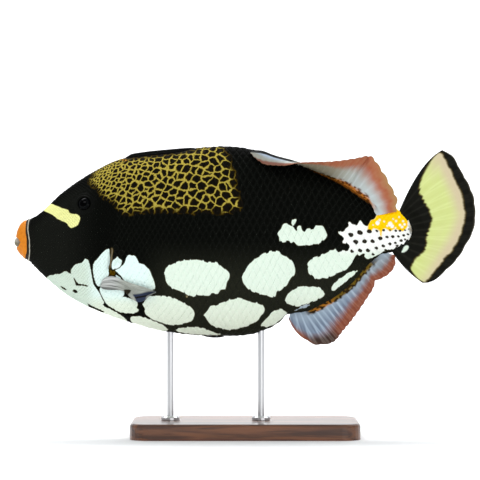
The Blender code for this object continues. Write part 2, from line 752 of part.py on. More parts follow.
def make_stand_base():
    slab = bmesh.new()
    bmesh.ops.create_cube(slab, size=1.0)
    bmesh.ops.scale(slab, vec=BASE_SIZE, verts=slab.verts[:])
    bmesh.ops.translate(slab, vec=(0.0, 0.0, BASE_SIZE[2] / 2), verts=slab.verts[:])
    upright = [edge for edge in slab.edges if abs(edge.verts[0].co.z - edge.verts[1].co.z) > 1.0]
    bmesh.ops.bevel(
        slab, geom=upright, offset=BASE_CORNER_RADIUS, segments=6, profile=0.5,
        affect="EDGES", material=-1,
    )
    top = [edge for edge in slab.edges if min(vert.co.z for vert in edge.verts) > BASE_SIZE[2] - 0.1]
    bmesh.ops.bevel(
        slab, geom=top, offset=BASE_EDGE_RADIUS, segments=3, profile=0.5,
        affect="EDGES", material=-1,
    )
    base = add_object("stand_base", slab, model)
    finish(base, (0.16, 0.07, 0.03), 0.4)


def make_rods():
    for name, x in ROD_PLACES.items():
        foot = BASE_SIZE[2] + GAP
        top = curve(BELLY, x) + ROD_SINK - GAP
        outline = [
            (0.0, foot), (ROD_FOOT_RADIUS, foot), (ROD_FOOT_RADIUS, foot + 0.6 * ROD_FOOT_HEIGHT),
            (ROD_FOOT_RADIUS - 1.2, foot + ROD_FOOT_HEIGHT), (ROD_RADIUS, foot + ROD_FOOT_HEIGHT),
            (ROD_RADIUS, top - 0.5), (ROD_RADIUS - 0.5, top), (0.0, top),
        ]
        rod = bmesh.new()
        verts = [rod.verts.new((radius, 0.0, height)) for radius, height in outline]
        edges = [rod.edges.new(pair) for pair in zip(verts, verts[1:])]
        bmesh.ops.spin(
            rod, geom=verts + edges, cent=(0, 0, 0), axis=(0, 0, 1), angle=2 * math.pi,
            steps=ROD_SIDES, use_merge=True,
        )
        bmesh.ops.remove_doubles(rod, verts=rod.verts[:], dist=1e-4)
        bmesh.ops.recalc_face_normals(rod, faces=rod.faces[:])
        bmesh.ops.translate(rod, vec=(x, 0.0, 0.0), verts=rod.verts[:])
        post = add_object(name, rod, model)
        finish(post, (0.7, 0.7, 0.7), 0.25, metallic=1.0)


remove_everything()
model = new_collection("clown_triggerfish")
cutters = new_collection("cutters")
make_head()
make_trunk()
make_tail_stalk()
make_lips()
make_teeth()
make_eyes()
make_first_dorsal()
make_soft_dorsal()
make_anal_fin()
make_caudal_fin()
make_pectoral_fins()
make_pelvic_spine()
make_stand_base()
make_rods()
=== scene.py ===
"""Clown triggerfish, a still display model: its looks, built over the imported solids."""
import math

import bmesh
import bpy
import numpy as np
from mathutils import Matrix, Vector


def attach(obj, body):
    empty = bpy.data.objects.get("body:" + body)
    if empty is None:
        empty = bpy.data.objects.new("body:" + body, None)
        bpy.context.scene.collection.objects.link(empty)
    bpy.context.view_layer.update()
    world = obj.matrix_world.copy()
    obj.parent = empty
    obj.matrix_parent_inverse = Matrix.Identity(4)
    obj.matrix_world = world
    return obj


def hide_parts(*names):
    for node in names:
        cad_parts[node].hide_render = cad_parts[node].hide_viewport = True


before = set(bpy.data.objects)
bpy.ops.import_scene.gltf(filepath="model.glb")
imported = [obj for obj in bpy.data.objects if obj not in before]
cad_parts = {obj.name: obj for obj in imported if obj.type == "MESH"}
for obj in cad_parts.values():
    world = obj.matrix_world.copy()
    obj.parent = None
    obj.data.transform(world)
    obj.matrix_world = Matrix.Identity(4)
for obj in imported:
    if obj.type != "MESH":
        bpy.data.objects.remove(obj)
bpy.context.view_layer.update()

# Skin
# The real fish has one leathery hide without a seam. Here a closed tube of quads replaces
# the head, trunk and tail stalk and lies 0.5 mm inside them, under the scales. The eye
# mound, nostrils, gill slit, spine groove and lip folds are pressed into it.
MM = 0.001
STEP = 0.75  # millimetres for one pixel of the photo, the grid that outlines are read on
MIDDLE_COLUMN, FLOOR_ROW = 244.5, 436  # the pixels where x and height are 0
COAT_DEPTH = 0.5  # how far the skin lies inside the body's outer face

# Heights of the back and belly lines and half the body's width, as (x, value) in millimetres
BACK = [
    (-162.4, 162.6), (-156.4, 165.6), (-150.4, 170.4), (-138.4, 181.8), (-120.4, 194.6),
    (-102.4, 204.5), (-93.4, 208.0), (-84.0, 209.9), (-58.1, 212.6), (-46.9, 214.4), (-38.0, 216.3),
    (-14.0, 217.8), (6.0, 215.3), (22.5, 209.4), (38.6, 205.0), (70.1, 191.6), (91.9, 177.0), (98.6, 172.2),
    (106.1, 170.5), (121.5, 170.6),
]
BELLY = [
    (-162.4, 131.4), (-147.4, 116.6), (-129.4, 102.9), (-106.9, 92.0), (-84.4, 84.3),
    (-61.9, 78.4), (-33.4, 75.0), (-12.4, 74.5), (4.1, 75.7), (16.1, 79.6), (25.1, 84.4),
    (32.0, 90.8), (45.0, 92.8), (63.4, 101.1), (78.4, 112.5), (96.4, 131.6), (103.1, 136.1),
    (121.5, 138.6),
]
HALF_WIDTH = [
    (-162.4, 9.4), (-150.0, 12.5), (-135.0, 16.5), (-118.0, 21.0), (-95.0, 26.5),
    (-70.0, 29.5), (-40.0, 30.0), (-5.0, 28.0), (25.0, 23.0), (55.0, 16.5), (80.0, 11.2),
    (100.0, 8.0), (121.5, 6.2),
]
FRONT_X, REAR_X = -162.4, 121.5  # the hide starts at the lips and ends at the tail fin
RISE_POWER = 0.92  # these two make a section fuller or flatter than an oval
WIDTH_POWER = 1.12
BACK_LEVEL = 180.0  # what lies higher near the middle is the top of the back
EYE_X, EYE_Z = -119.6, 174.0
NOSTRILS = [(-127.6, 176.9), (-125.2, 179.3)]
GILL_CUT = (-100.1, 135.8, 0.15)  # a point on the line of the gill slit, and its slope
GILL_SLIT = (124.5, 141.5)  # lowest and highest point of the slit
SPINE_GROOVE = (-87.6, -37.8)  # front and rear end of the groove
SKIN_END = [  # how far back the skin reaches at each height of the stalk
    (137.0, 111.0), (140.6, 113.0), (144.4, 119.2), (149.0, 123.0), (154.0, 124.6), (158.5, 123.0),
    (164.3, 120.6), (169.7, 115.4), (172.0, 114.0),
]


def curve(points, x):
    """Value of the smooth curve through (x, value) points that doesn't overshoot them."""
    xs, ys = np.array(points, float).T
    spans = np.diff(xs)
    rises = np.diff(ys) / spans
    product = rises[:-1] * rises[1:]
    total = np.where(product > 0, rises[:-1] + rises[1:], 1.0)
    tangents = np.concatenate(([rises[0]], np.where(product > 0, 2 * product / total, 0.0), [rises[-1]]))
    x = np.clip(x, xs[0], xs[-1])
    left = np.clip(np.searchsorted(xs, x, "right") - 1, 0, len(xs) - 2)
    span = spans[left]
    t = (x - xs[left]) / span
    return (
        ys[left] * (1 + 2 * t) * (1 - t) ** 2 + tangents[left] * span * t * (1 - t) ** 2
        + ys[left + 1] * t * t * (3 - 2 * t) - tangents[left + 1] * span * t * t * (1 - t)
    )


def ramp(value, low, high):
    """0 below low, 1 above high, smooth between."""
    t = np.clip((value - low) / (high - low), 0.0, 1.0)
    return t * t * (3 - 2 * t)


def hill(distance, width):
    """1 in the middle, falling away on both sides."""
    return np.exp(-(distance / width) ** 2)


def hide(x, angle):
    """Point on the body at x; angle 0 is the right flank and a quarter turn the back."""
    top, bottom = curve(BACK, x), curve(BELLY, x)
    sine, cosine = np.sin(angle), np.cos(angle)
    z = (top + bottom) / 2 + (top - bottom) / 2 * np.sign(sine) * np.abs(sine) ** RISE_POWER
    y = curve(HALF_WIDTH, x) * np.sign(cosine) * np.abs(cosine) ** WIDTH_POWER
    return np.stack(np.broadcast_arrays(x, y, z), -1)


def unit(vectors):
    return vectors / np.maximum(np.linalg.norm(vectors, axis=-1, keepdims=True), 1e-9)


def hide_normal(x, angle):
    """Outward direction on the body."""
    along = hide(np.minimum(x + 0.4, REAR_X), angle) - hide(np.maximum(x - 0.4, FRONT_X), angle)
    around = hide(x, angle + 0.02) - hide(x, angle - 0.02)
    return unit(np.cross(around, along))


def angle_at(x, z, side):
    """Angle of the point at (x, z) on the flank; side is -1 on the left and 1 on the right."""
    top, bottom = curve(BACK, x), curve(BELLY, x)
    level = np.clip((z - (top + bottom) / 2) / ((top - bottom) / 2), -1.0, 1.0)
    angle = np.sign(level) * np.arcsin(np.abs(level) ** (1 / RISE_POWER))
    return angle if side > 0 else math.pi - angle


def on_hide(x, z, side, out=0.0):
    """Points on the flank above (x, z), raised by out, and the normals there."""
    angle = angle_at(x, z, side)
    normal = hide_normal(x, angle)
    return hide(x, angle) + normal * np.asarray(out)[..., None], normal


def past_gill_cut(x, z):
    """How far behind the line of the gill slit a point lies."""
    return x - (GILL_CUT[0] + GILL_CUT[2] * (z - GILL_CUT[1]))


def relief(points):
    """Height added to the skin at points on the hide."""
    x, y, z = points[..., 0], points[..., 1], points[..., 2]
    eye = np.hypot(x - EYE_X, z - EYE_Z)
    height = 0.5 * hill(eye - 8.6, 2.0) - 1.4 * ramp(5.6 - eye, 0.0, 1.2)
    slit = past_gill_cut(x, z)
    low, high = GILL_SLIT
    open_part = ramp(z, low - 1.0, low + 1.5) * ramp(-z, -high - 1.0, -high + 1.5)
    height += open_part * (0.6 * hill(slit + 1.7, 1.3) - 1.9 * hill(slit, 0.6))
    for nostril_x, nostril_z in NOSTRILS:
        away = np.hypot(x - nostril_x, z - nostril_z)
        height += 0.35 * hill(away - 1.4, 0.5) - 1.0 * hill(away, 0.8)
    furrow = np.abs((z - 168.5) - 0.35 * (x + 132.0))
    height -= 0.35 * hill(furrow, 1.1) * ramp(x, -146.0, -138.0) * ramp(-x, 126.0, 129.0)
    height += 0.22 * np.cos((x + 161.6) * 2 * math.pi / 1.7) * ramp(-x, 155.5, 159.5)
    start, end = SPINE_GROOVE
    in_groove = ramp(x, start, start + 1.0) * ramp(-x, -end, 1.0 - end)
    height -= 1.7 * in_groove * ramp(2.5 - np.abs(y), 0.0, 0.6) * (z > BACK_LEVEL)
    return height


def drawn(points):
    """Turn pixels of the photo, across from the left and down from the top, into (x, height)."""
    return [((across - MIDDLE_COLUMN) * STEP, (FLOOR_ROW - down) * STEP) for across, down in points]


def depth_in(outline, x, z, reach=6.0):
    """Distance in from a smooth closed outline, negative outside, for many points."""
    corners = np.array(outline)
    before, after, later = (np.roll(corners, shift, 0) for shift in (1, -1, -2))
    between = []
    for t in (0.0, 0.35, 0.68):
        between.append(0.5 * (
            2 * corners + (after - before) * t + (2 * before - 5 * corners + 4 * after - later) * t * t
            + (3 * corners - before - 3 * after + later) * t ** 3
        ))
    ring = np.stack(between, 1).reshape(-1, 2)
    low, high = ring.min(0) - reach, ring.max(0) + reach
    result = np.full(x.shape, -reach)
    near = (x > low[0]) & (x < high[0]) & (z > low[1]) & (z < high[1])
    px, pz = x[near], z[near]
    best = np.full(px.shape, reach)
    within = np.zeros(px.shape, bool)
    for (ax, az), (bx, bz) in zip(ring, np.roll(ring, -1, 0)):
        across, rise = bx - ax, bz - az
        share = np.clip(((px - ax) * across + (pz - az) * rise) / (across ** 2 + rise ** 2 + 1e-9), 0, 1)
        best = np.minimum(best, np.hypot(px - ax - share * across, pz - az - share * rise))
        if az != bz:
            within ^= ((az > pz) != (bz > pz)) & (px < ax + (pz - az) * across / rise)
    result[near] = np.where(within, best, -best)
    return result


def noise_at(first, second, seed):
    """Smooth random tone from 0 to 1 over two coordinates, a new one at each whole step."""
    table = np.random.default_rng(seed).random((128, 128))
    row, column = np.floor(first).astype(int), np.floor(second).astype(int)
    f, g = ramp(first - row, 0.0, 1.0), ramp(second - column, 0.0, 1.0)
    low = table[row % 128, column % 128] * (1 - f) + table[(row + 1) % 128, column % 128] * f
    high = table[row % 128, (column + 1) % 128] * (1 - f) + table[(row + 1) % 128, (column + 1) % 128] * f
    return low * (1 - g) + high * g


def colour(red, green, blue):
    """Screen colour out of 255 as linear light."""
    return np.array([(part / 255) ** 2.2 for part in (red, green, blue)])


def mix_paint(first, second, share):
    """Colours that go from the first to the second by a share for each vertex."""
    return first + (second - first) * share[:, None]


# The markings, as outlines read off the photo's left flank, in its pixels
WHITE = colour(222, 236, 220)
WHITE_SPOTS = [
    # Row of large spots along the flank, from the front
    [(165.2, 271), (167, 266.5), (170.5, 265), (175, 262.8), (180, 261), (185, 259.8), (190, 259.8),
     (195, 259.3), (200, 259.8), (204, 260.8), (208, 262), (215, 262), (219, 264), (223, 267.5),
     (226, 270), (229, 273.5), (228.8, 278), (226.5, 282), (225.5, 286.5), (224.5, 288.8), (221, 289.3),
     (219.5, 291), (218, 292.7), (211, 293), (208.5, 295), (200, 294.5), (196, 294.7), (193, 295.8),
     (189.5, 295), (186, 293), (180, 290.3), (175, 288.6), (171, 286.5), (168, 283.5), (166, 279)],
    [(241.5, 276), (242.5, 272.5), (244.5, 270), (247.5, 266), (250, 263), (252, 261), (255, 258),
     (259, 256), (262.5, 253.5), (266.5, 252.5), (270, 251.2), (276, 251.2), (279, 252.5),
     (281.5, 254.5), (285, 256.2), (288, 259), (291, 261.5), (292.7, 265), (294, 270), (293.2, 274.5),
     (290, 277.5), (287.5, 282), (285.5, 285.5), (282.5, 287), (280, 289.5), (276, 291.5), (275, 295.5),
     (273, 296.7), (269.5, 296.3), (266, 294.8), (262, 294.3), (258, 293), (254, 291.5), (250, 289.8),
     (247.5, 288.5), (245, 285.5), (242.5, 281.5)],
    [(306.5, 263), (309, 259.8), (313, 257.5), (318, 256), (322, 254.2), (326, 252.3), (329, 250.3),
     (332, 250.2), (334, 248.8), (335.5, 250), (337, 251.8), (340, 251), (345, 250.6), (350, 250),
     (355, 250.5), (356.5, 254), (354, 257), (351, 262), (348, 266), (345, 269.5), (340, 271.5),
     (336, 273), (333, 275), (329, 276.5), (326, 278), (322, 277.5), (318, 278.8), (314, 277.7),
     (310, 275), (307.5, 273), (306.8, 268)],
    [(284.7, 301), (285.5, 297), (288, 293), (291.5, 290), (296, 287.3), (300, 286.2), (305, 286),
     (308, 286.8), (312, 286.2), (316, 287), (320, 288.5), (322.5, 290.5), (323.5, 293), (322.5, 296),
     (318, 299), (312, 301.5), (306, 303.5), (300, 305.5), (295, 306.3), (290, 304.5), (287, 303.3)],
    [(330.8, 289), (331, 286.5), (333, 283.5), (336, 280.5), (340, 278), (344, 275), (348, 272.3),
     (353, 271.3), (356.5, 270.3), (357, 271), (354, 274), (350, 277.5), (345.5, 281), (341, 285),
     (337, 287.5), (334, 290.3), (332, 290.3)],
    # Lower row
    [(203.3, 314), (206.5, 310.5), (209, 306.5), (212, 305.3), (216, 304.5), (221, 302.3), (225, 301),
     (228, 299.2), (233, 298.7), (236, 297.5), (240, 297.7), (245, 299.5), (250, 301.3), (256, 302.5),
     (261, 304.2), (263, 306.5), (263.7, 309), (262.5, 312.5), (260, 315), (258, 318.5), (254.5, 321.8),
     (250, 324), (244, 326.5), (238, 328), (232, 329.3), (227, 329.6), (221, 328), (215, 326.7),
     (211, 324.5), (208, 321), (206.5, 318.5), (205, 316)],
    [(143, 304.5), (144.5, 301), (147, 298), (150.5, 295.8), (155, 295.2), (160, 295.2), (165, 295.5),
     (170, 296.3), (175, 298), (180, 300.3), (185, 303), (190, 306), (193, 309.5), (194.3, 313.5),
     (193, 317.5), (191, 320.3), (186, 322.5), (180, 324), (174, 324.7), (168, 324.3), (163, 322.8),
     (158, 321), (153, 319.3), (149.5, 317), (146.5, 314.5), (145, 311.5), (145.2, 308.5)],
    [(260, 325), (262, 322), (265, 318.5), (268.5, 315), (272, 311.8), (275.5, 309.7), (279, 309),
     (283, 309.8), (286, 311.8), (287, 313.5), (285.5, 315), (281, 319), (276, 323), (271, 325.7),
     (266, 326.9), (261.5, 326)],
    [(175.2, 330.2), (178.5, 328.3), (184, 327.3), (190, 326.8), (197, 326.8), (203, 328), (208, 330),
     (213, 332), (217, 333.3), (220.5, 334.5), (216, 335), (208, 335), (200, 334.7), (192, 334.3),
     (185, 333.3), (179, 332)],
    [(130.3, 318.5), (131.5, 316.8), (134, 316.2), (138, 315.8), (142, 316.6), (147, 318), (152, 320),
     (158, 322.5), (163, 325), (166.5, 328), (167.5, 330.3), (160, 331), (150, 329.5), (141, 327),
     (134, 324.5), (131, 321.5)],
    # Throat and chest
    [(46, 278.5), (48, 276.5), (50, 275.3), (54, 275), (56, 274), (60, 274), (63, 272.7), (65.5, 271),
     (68, 271.8), (71, 273.5), (72, 273.2), (71.6, 270.5), (74, 266.8), (77, 264), (82, 262.8),
     (84.6, 260.8), (85.5, 259), (88, 259), (89.5, 260.5), (90.5, 264), (91.5, 269), (92.5, 275),
     (93.5, 281), (95, 285.5), (98, 289.5), (100.5, 294), (102.5, 298.5), (104.3, 302), (103.2, 304.5),
     (105, 306.5), (109, 308.5), (115, 311.5), (120, 314.5), (124, 318), (126.5, 320.5), (124, 323),
     (112, 319), (100, 314), (86, 309), (74, 302), (62, 293), (52, 285)],
    # Gill cover, behind the pectoral fin, and the small one between
    [(109, 249), (110.4, 249.3), (110.5, 254), (110.5, 259), (110, 264), (108.8, 268), (109.8, 271),
     (109.3, 275.5), (107, 277), (106, 282), (101, 286), (98, 285), (96, 281), (94.7, 276), (94, 270),
     (94.3, 265), (95.5, 261.5), (98, 259), (100, 257), (102, 254.5), (105, 251.5), (107.5, 249.3)],
    [(101, 287), (100.3, 290), (101.5, 293.5), (103.5, 297.5), (105.5, 301.5), (108.5, 305),
     (112, 307.5), (116, 310), (120, 312), (126, 312.8), (133, 313), (137, 312), (139, 310.3),
     (138.5, 308.5), (137, 307), (138, 304.5), (137.3, 300.5), (135, 299), (130, 298), (127, 296.7),
     (123, 296.3), (124.5, 294), (125, 289.5), (124, 286), (112, 284), (104, 284.5)],
    [(116.3, 270), (118.5, 268.7), (121.5, 267), (124.5, 264.5), (126.5, 261), (127.5, 257.5),
     (129.5, 255.3), (133, 255), (135.5, 256), (138, 258), (139.5, 261.5), (141.5, 263.3), (145, 264.3),
     (148, 267), (150.5, 270), (152.5, 275), (155, 281), (155.8, 286), (155, 289), (150, 289),
     (140, 288), (130, 286), (126.5, 282.5), (123.6, 277.8), (120.5, 273.8), (118, 272)],
    [(113.2, 268), (113, 264), (114.3, 260), (117, 258), (118.5, 256.3), (120.5, 258.3), (123, 260),
     (122.5, 263), (120.5, 266.5), (117.5, 268.3), (114.5, 268.8)],
    [(116.8, 274.8), (119.5, 276), (122.5, 279), (124.5, 281.5), (121, 280), (118, 277.5)],
    # Crown-shaped mark and its islet on the rear flank
    [(277, 233), (278.5, 231.3), (280, 229.5), (281.3, 226.5), (282.5, 224.3), (285, 223.7),
     (287.5, 224.5), (290, 225.8), (291.5, 226.2), (293.5, 229.5), (295.3, 231.2), (296, 228.5),
     (296.5, 226.3), (298.5, 225.5), (299.8, 226.5), (300.3, 229), (301.5, 231.3), (303.5, 231.7),
     (306, 229.3), (310, 229), (313.5, 228.2), (314.8, 225.7), (317, 225.8), (321.5, 225.9),
     (323, 227.5), (324.5, 230.5), (326, 234), (325, 237.5), (323, 240), (320, 241.7), (318, 242.7),
     (316.5, 244), (313.5, 244.3), (311, 243.8), (308.5, 245.5), (305, 245), (300.5, 245.5),
     (297, 245.5), (295, 244.5), (293, 242.3), (290, 242), (286, 241), (283, 241.8), (278.8, 241.5),
     (278, 239.5), (277.8, 236)],
    [(292.2, 219.5), (294.8, 219), (295, 222), (293.8, 224.8), (291.5, 225.3), (290.3, 223.5),
     (290.8, 221)],
    # Tail stalk
    [(336.7, 232.5), (337.5, 231.3), (339.5, 231.2), (341, 232), (343, 231), (344.5, 228.5),
     (347, 226.3), (347.3, 223.5), (348, 221.8), (349.5, 222.5), (351, 224.5), (354, 225), (356, 224.5),
     (357.3, 222), (358.5, 220.2), (360, 221), (362, 224), (364.5, 226), (367, 225.5), (368, 223),
     (370, 219.8), (373, 219.5), (376, 216.3), (384, 216.3), (392, 216), (395, 212.5), (397.5, 209),
     (401, 209), (404, 212), (407.5, 216.5), (409, 220.5), (410, 224.5), (411.5, 228), (412, 231),
     (411, 235), (408.5, 239), (405, 243), (400.5, 246), (396, 248.5), (393, 249.5), (390, 249.5),
     (384, 251), (380, 253.5), (376.5, 255.5), (372, 257.5), (368, 259), (365.5, 258.5),
     (363.5, 256.5), (364, 254.8), (362, 253.7), (359, 255.3), (357, 254.3), (356, 251.5), (353, 252),
     (348, 251), (347.5, 249), (348.3, 245.5), (347, 243.5), (342.5, 243.3), (341.3, 242),
     (342.5, 240), (343, 237.5), (341, 236.5), (338.5, 235)],
]
OTHER_PALE = [
    (colour(236, 237, 158), [
        (43.5, 210.5), (45, 206.5), (48, 203.5), (51.6, 203.9), (56, 205.5), (61, 207.6), (64, 208.7),
        (68.5, 210), (70, 212.5), (72.7, 214), (77.5, 214.5), (80.7, 216.5), (80.8, 220), (79, 225),
        (76, 226.6), (73, 228), (69.8, 226.7), (68, 223.5), (65, 222), (60, 219.8), (57.5, 218.5),
        (55, 216.2), (50, 213.5), (46.5, 211.8)]),
    (colour(165, 180, 190), [
        (293.5, 310.5), (297, 308.5), (301, 306.3), (305, 304.5), (308.5, 304.3), (309.5, 305.2),
        (306, 307), (300, 308.8), (296, 310.3)]),
    (colour(112, 100, 78), [
        (111.6, 249), (112.6, 247.8), (114, 249.5), (113.6, 256), (112.6, 262), (111.2, 268),
        (110.2, 268), (111.2, 262), (111.5, 255)]),
    (colour(82, 64, 16), [
        (110.8, 270), (113, 270.6), (116, 271), (115.4, 274.6), (113, 275), (109.8, 275.8),
        (111.2, 273)]),
    (colour(150, 140, 110), [(186, 295), (187.5, 294.6), (188.2, 296), (187, 297), (186, 296.4)]),
    (colour(170, 112, 34), [(121.5, 159.7), (122.5, 158.7), (123.5, 159.7), (122.5, 160.7)]),
    (colour(170, 112, 34), [(124.5, 160.3), (125.5, 159.3), (126.5, 160.3), (125.5, 161.3)]),
]
DARK_MARKS = [
    [(74, 277.6), (75.2, 278.2), (77, 281.5), (79.5, 283.5), (84, 284), (88.5, 285.3), (88, 286.4),
     (83, 285.4), (79, 285.6), (76.3, 285), (75.3, 281.5)],
    [(60.3, 286), (63, 287), (66.2, 289), (66, 290.2), (62.5, 288.8)],
    [(72.5, 291), (74.5, 289.3), (76.5, 290), (78, 292.3), (76, 293), (73.8, 292)],
    [(87.3, 303.3), (88.8, 304.2), (92, 306), (97, 308.3), (101, 310), (104, 312.5), (102, 312.7),
     (97, 310.6), (92, 308.3), (88.5, 308), (88, 306)],
]
STALK_YELLOW = drawn([
    (367, 225.5), (368, 223), (370, 219.8), (373, 219.3), (375.5, 215.5), (377, 209), (380, 203), (390, 202),
    (398, 203), (401, 207), (403.5, 213.5), (405.5, 217), (406.5, 221), (406.3, 226),
    (404, 229.5), (401, 231.5), (397, 230), (393.5, 229), (391, 230.5), (388.5, 231.5), (386, 229.5),
    (383, 228.5), (381, 231), (380.5, 236.5), (379.3, 236), (378.5, 231.5), (376, 229.5),
    (372.5, 228.5), (369, 232.5), (366.5, 230),
])
STALK_FLECKS = [  # white flecks in the yellow, as (across, down, radius) in pixels
    (376.5, 223, 2.1), (378.5, 220, 0.9), (389, 224, 2.4), (391, 226.4, 1.8), (395, 221, 0.9),
    (399, 225, 1.1), (402, 221, 1.0), (386, 226, 0.9), (383, 221.5, 0.8), (392, 219, 0.8),
    (372, 225, 0.7), (398, 217, 0.8), (401, 227, 1.2), (394.5, 228, 0.8), (403.5, 224.5, 1.1),
]
STALK_SPINES = [  # dark spots with a spine each, as (across, down, radius) in pixels
    (349.5, 234.8, 1.9), (358.7, 232.5, 2.1), (368.2, 231.3, 1.7), (375.8, 231, 1.1),
    (382.4, 230.2, 1.0), (389, 230.2, 0.8), (394.6, 230.7, 0.9), (399, 230.7, 0.9),
    (403.9, 230.2, 0.8), (408.2, 229.2, 0.8), (354.6, 242, 1.9), (363.3, 241.3, 1.6),
    (371.5, 241.2, 1.6), (379.3, 238.4, 1.5), (385.8, 237, 1.2), (391.7, 236.7, 1.2),
    (397.3, 236.4, 1.0), (402.6, 235.4, 1.0), (406.9, 234.3, 0.9), (351.1, 251.4, 1.5),
    (359, 250.4, 1.7), (366.9, 250.4, 1.6), (375.3, 248.1, 1.3), (382.4, 246, 1.3),
    (388.8, 244, 1.2), (394.4, 243, 1.0), (400, 240.6, 1.1), (404.1, 239.5, 0.9),
    (372.2, 254.4, 1.1), (385, 250.4, 1.0), (396.2, 245.9, 1.0),
]
SADDLE = drawn([
    (88, 180), (89, 176.5), (90.5, 172), (100, 164), (112, 156), (122, 152), (130, 149), (140, 147),
    (155, 145), (170, 144), (185, 142), (205, 142), (222, 142.5), (225, 147), (226.5, 151),
    (229.5, 156), (230.5, 161), (231, 167), (234, 173), (235.5, 178), (234.5, 184), (236.5, 190),
    (237.5, 197), (238.5, 204), (236, 209.5), (228, 211), (220, 212.5), (205, 212), (190, 212.5),
    (175, 211.5), (160, 211.5), (145, 212), (132, 213.5), (125, 214.5), (120.5, 212.5), (117, 209),
    (112, 203.5), (105, 201.5), (101, 197.5), (97, 192), (91.5, 187), (89, 184),
])

# The gold net's cells lie in rings round a pole ahead of the saddle and grow away from it
NET_POLE = (-150.0, -8.0)
NET_SIZE = [(20.0, 1.6), (38.0, 2.1), (50.0, 2.8), (76.0, 4.4), (102.0, 5.5), (137.0, 6.3), (220.0, 7.0)]
NET_LINE = [(30.0, 0.19), (50.0, 0.16), (76.0, 0.125), (102.0, 0.105), (140.0, 0.085)]  # half width, in cells
reaches = np.linspace(10.0, 260.0, 501)
net_rings = np.concatenate(([0.0], np.cumsum(0.5 / curve(NET_SIZE, reaches[:-1] + 0.25))))

# Length round the body from the middle of the back, at stations along it
ARC_X = np.linspace(FRONT_X, REAR_X, 143)
arc_angles = np.linspace(0.0, math.pi, 361)
arc_points = hide(ARC_X[:, None], math.pi / 2 - arc_angles[None, :])
arc_steps = np.linalg.norm(np.diff(arc_points, axis=1), axis=2)
ARCS = np.concatenate((np.zeros((len(ARC_X), 1)), np.cumsum(arc_steps, axis=1)), axis=1)


def sample(table, x, share):
    """Value in a table of stations along x by an even share across, between its entries."""
    row = np.clip((x - ARC_X[0]) / (ARC_X[-1] - ARC_X[0]), 0, 1) * (len(ARC_X) - 1)
    column = np.clip(share, 0, 1) * (table.shape[1] - 1)
    row0 = np.minimum(row.astype(int), len(ARC_X) - 2)
    column0 = np.minimum(column.astype(int), table.shape[1] - 2)
    f, g = row - row0, column - column0
    return (
        table[row0, column0] * (1 - f) * (1 - g) + table[row0 + 1, column0] * f * (1 - g)
        + table[row0, column0 + 1] * (1 - f) * g + table[row0 + 1, column0 + 1] * f * g
    )


def arc_down(x, angle):
    """Length round the body from the middle of the back to an angle."""
    turn = np.abs((np.asarray(angle) - math.pi / 2 + math.pi) % (2 * math.pi) - math.pi)
    return sample(ARCS, x, turn / math.pi)


def markings(x, z, y):
    """Attributes of the markings at side-view points."""
    pale = np.full(x.shape, -6.0)
    tint = np.tile(WHITE, (len(x), 1))
    for other_white, share in (
        (colour(224, 233, 214), ramp(-z, -118.0, -84.0)),
        (colour(224, 243, 237), ramp(-x, 62.0, 76.0) * ramp(z, 98.0, 108.0)),
        (colour(205, 221, 206), ramp(-x, 110.0, 120.0) * ramp(-z, -148.0, -122.0)),
        (colour(244, 245, 240), ramp(x, 66.0, 74.0) * ramp(z, 134.0, 142.0) * ramp(-z, -163.0, -159.0)),
    ):
        tint = mix_paint(tint, other_white, share)
    for outline in WHITE_SPOTS:
        pale = np.maximum(pale, depth_in(drawn(outline), x, z))
    for spot_tint, outline in OTHER_PALE:
        depth = depth_in(drawn(outline), x, z)
        tint[depth > np.maximum(pale, -1.0)] = spot_tint
        pale = np.maximum(pale, depth)
    for outline in DARK_MARKS:
        pale = np.minimum(pale, -depth_in(drawn(outline), x, z))
    yellow = depth_in(STALK_YELLOW, x, z)
    pale = np.maximum(pale, yellow)
    for across, down, radius in STALK_FLECKS:
        (fleck_x, fleck_z), = drawn([(across, down)])
        yellow = np.minimum(yellow, np.hypot(x - fleck_x, z - fleck_z) - radius * STEP)
    tint = mix_paint(tint, colour(255, 204, 26), ramp(yellow, -0.4, 0.5))
    for across, down, radius in STALK_SPINES:
        (dot_x, dot_z), = drawn([(across, down)])
        away = np.hypot((x - dot_x) * 0.8, (z - dot_z) + 0.15 * (x - dot_x)) - radius * STEP * 1.12
        pale = np.minimum(pale, away)
    fading = ramp(-z, -182.0, -172.0) * ramp(x, -100.0, -85.0)
    fading += ramp(x, -22.0, -12.0) * ramp(-z, -214.0, -206.0)
    saddle = depth_in(SADDLE, x, z) + 2.4 * (noise_at(x / 3.0, z / 3.0, 3) - 0.5) + 1.5 * fading
    beside = np.maximum(np.abs(y) - 4.6, np.maximum(SPINE_GROOVE[0] - x, x - SPINE_GROOVE[1]))
    saddle = np.where(z > BACK_LEVEL, np.minimum(saddle, beside), saddle)
    belly_edge = z - curve(BELLY, x)
    pale = np.where((x > -28) & (x < 33), np.minimum(pale, belly_edge - 1.1), pale)
    under_back = curve(BACK, x) - z
    dark = mix_paint(
        colour(15, 16, 14), colour(37, 38, 31), ramp(-z, -150.0, -112.0) * ramp(x, -80.0, -55.0),
    )
    dark = mix_paint(dark, colour(28, 29, 26), ramp(-x, 104.0, 140.0))
    # Painted shade: the black is painted darker towards the top of the back, to hold back the light of the
    # lamp above.
    dark = dark * (1 - 0.7 * ramp(-under_back, -12.0, -1.0))[:, None]
    gilded = ramp(x, 45.0, 62.0) * ramp(-x, -97.0, -84.0) * ramp(-under_back, -2.6, -1.4)
    dark = mix_paint(dark, colour(120, 72, 24), gilded)
    return np.stack((pale, saddle, np.zeros_like(x)), 1), tint, dark


def net_place(x, arc):
    """Place in the gold net, in cells, and the half width of its lines."""
    across, down = x - NET_POLE[0], arc - NET_POLE[1]
    reach = np.hypot(across, down)
    turn = np.arctan2(down, across) - 0.35
    ring = np.interp(reach, reaches, net_rings)
    return np.stack((ring, turn * reach / curve(NET_SIZE, reach), curve(NET_LINE, reach)), 1)


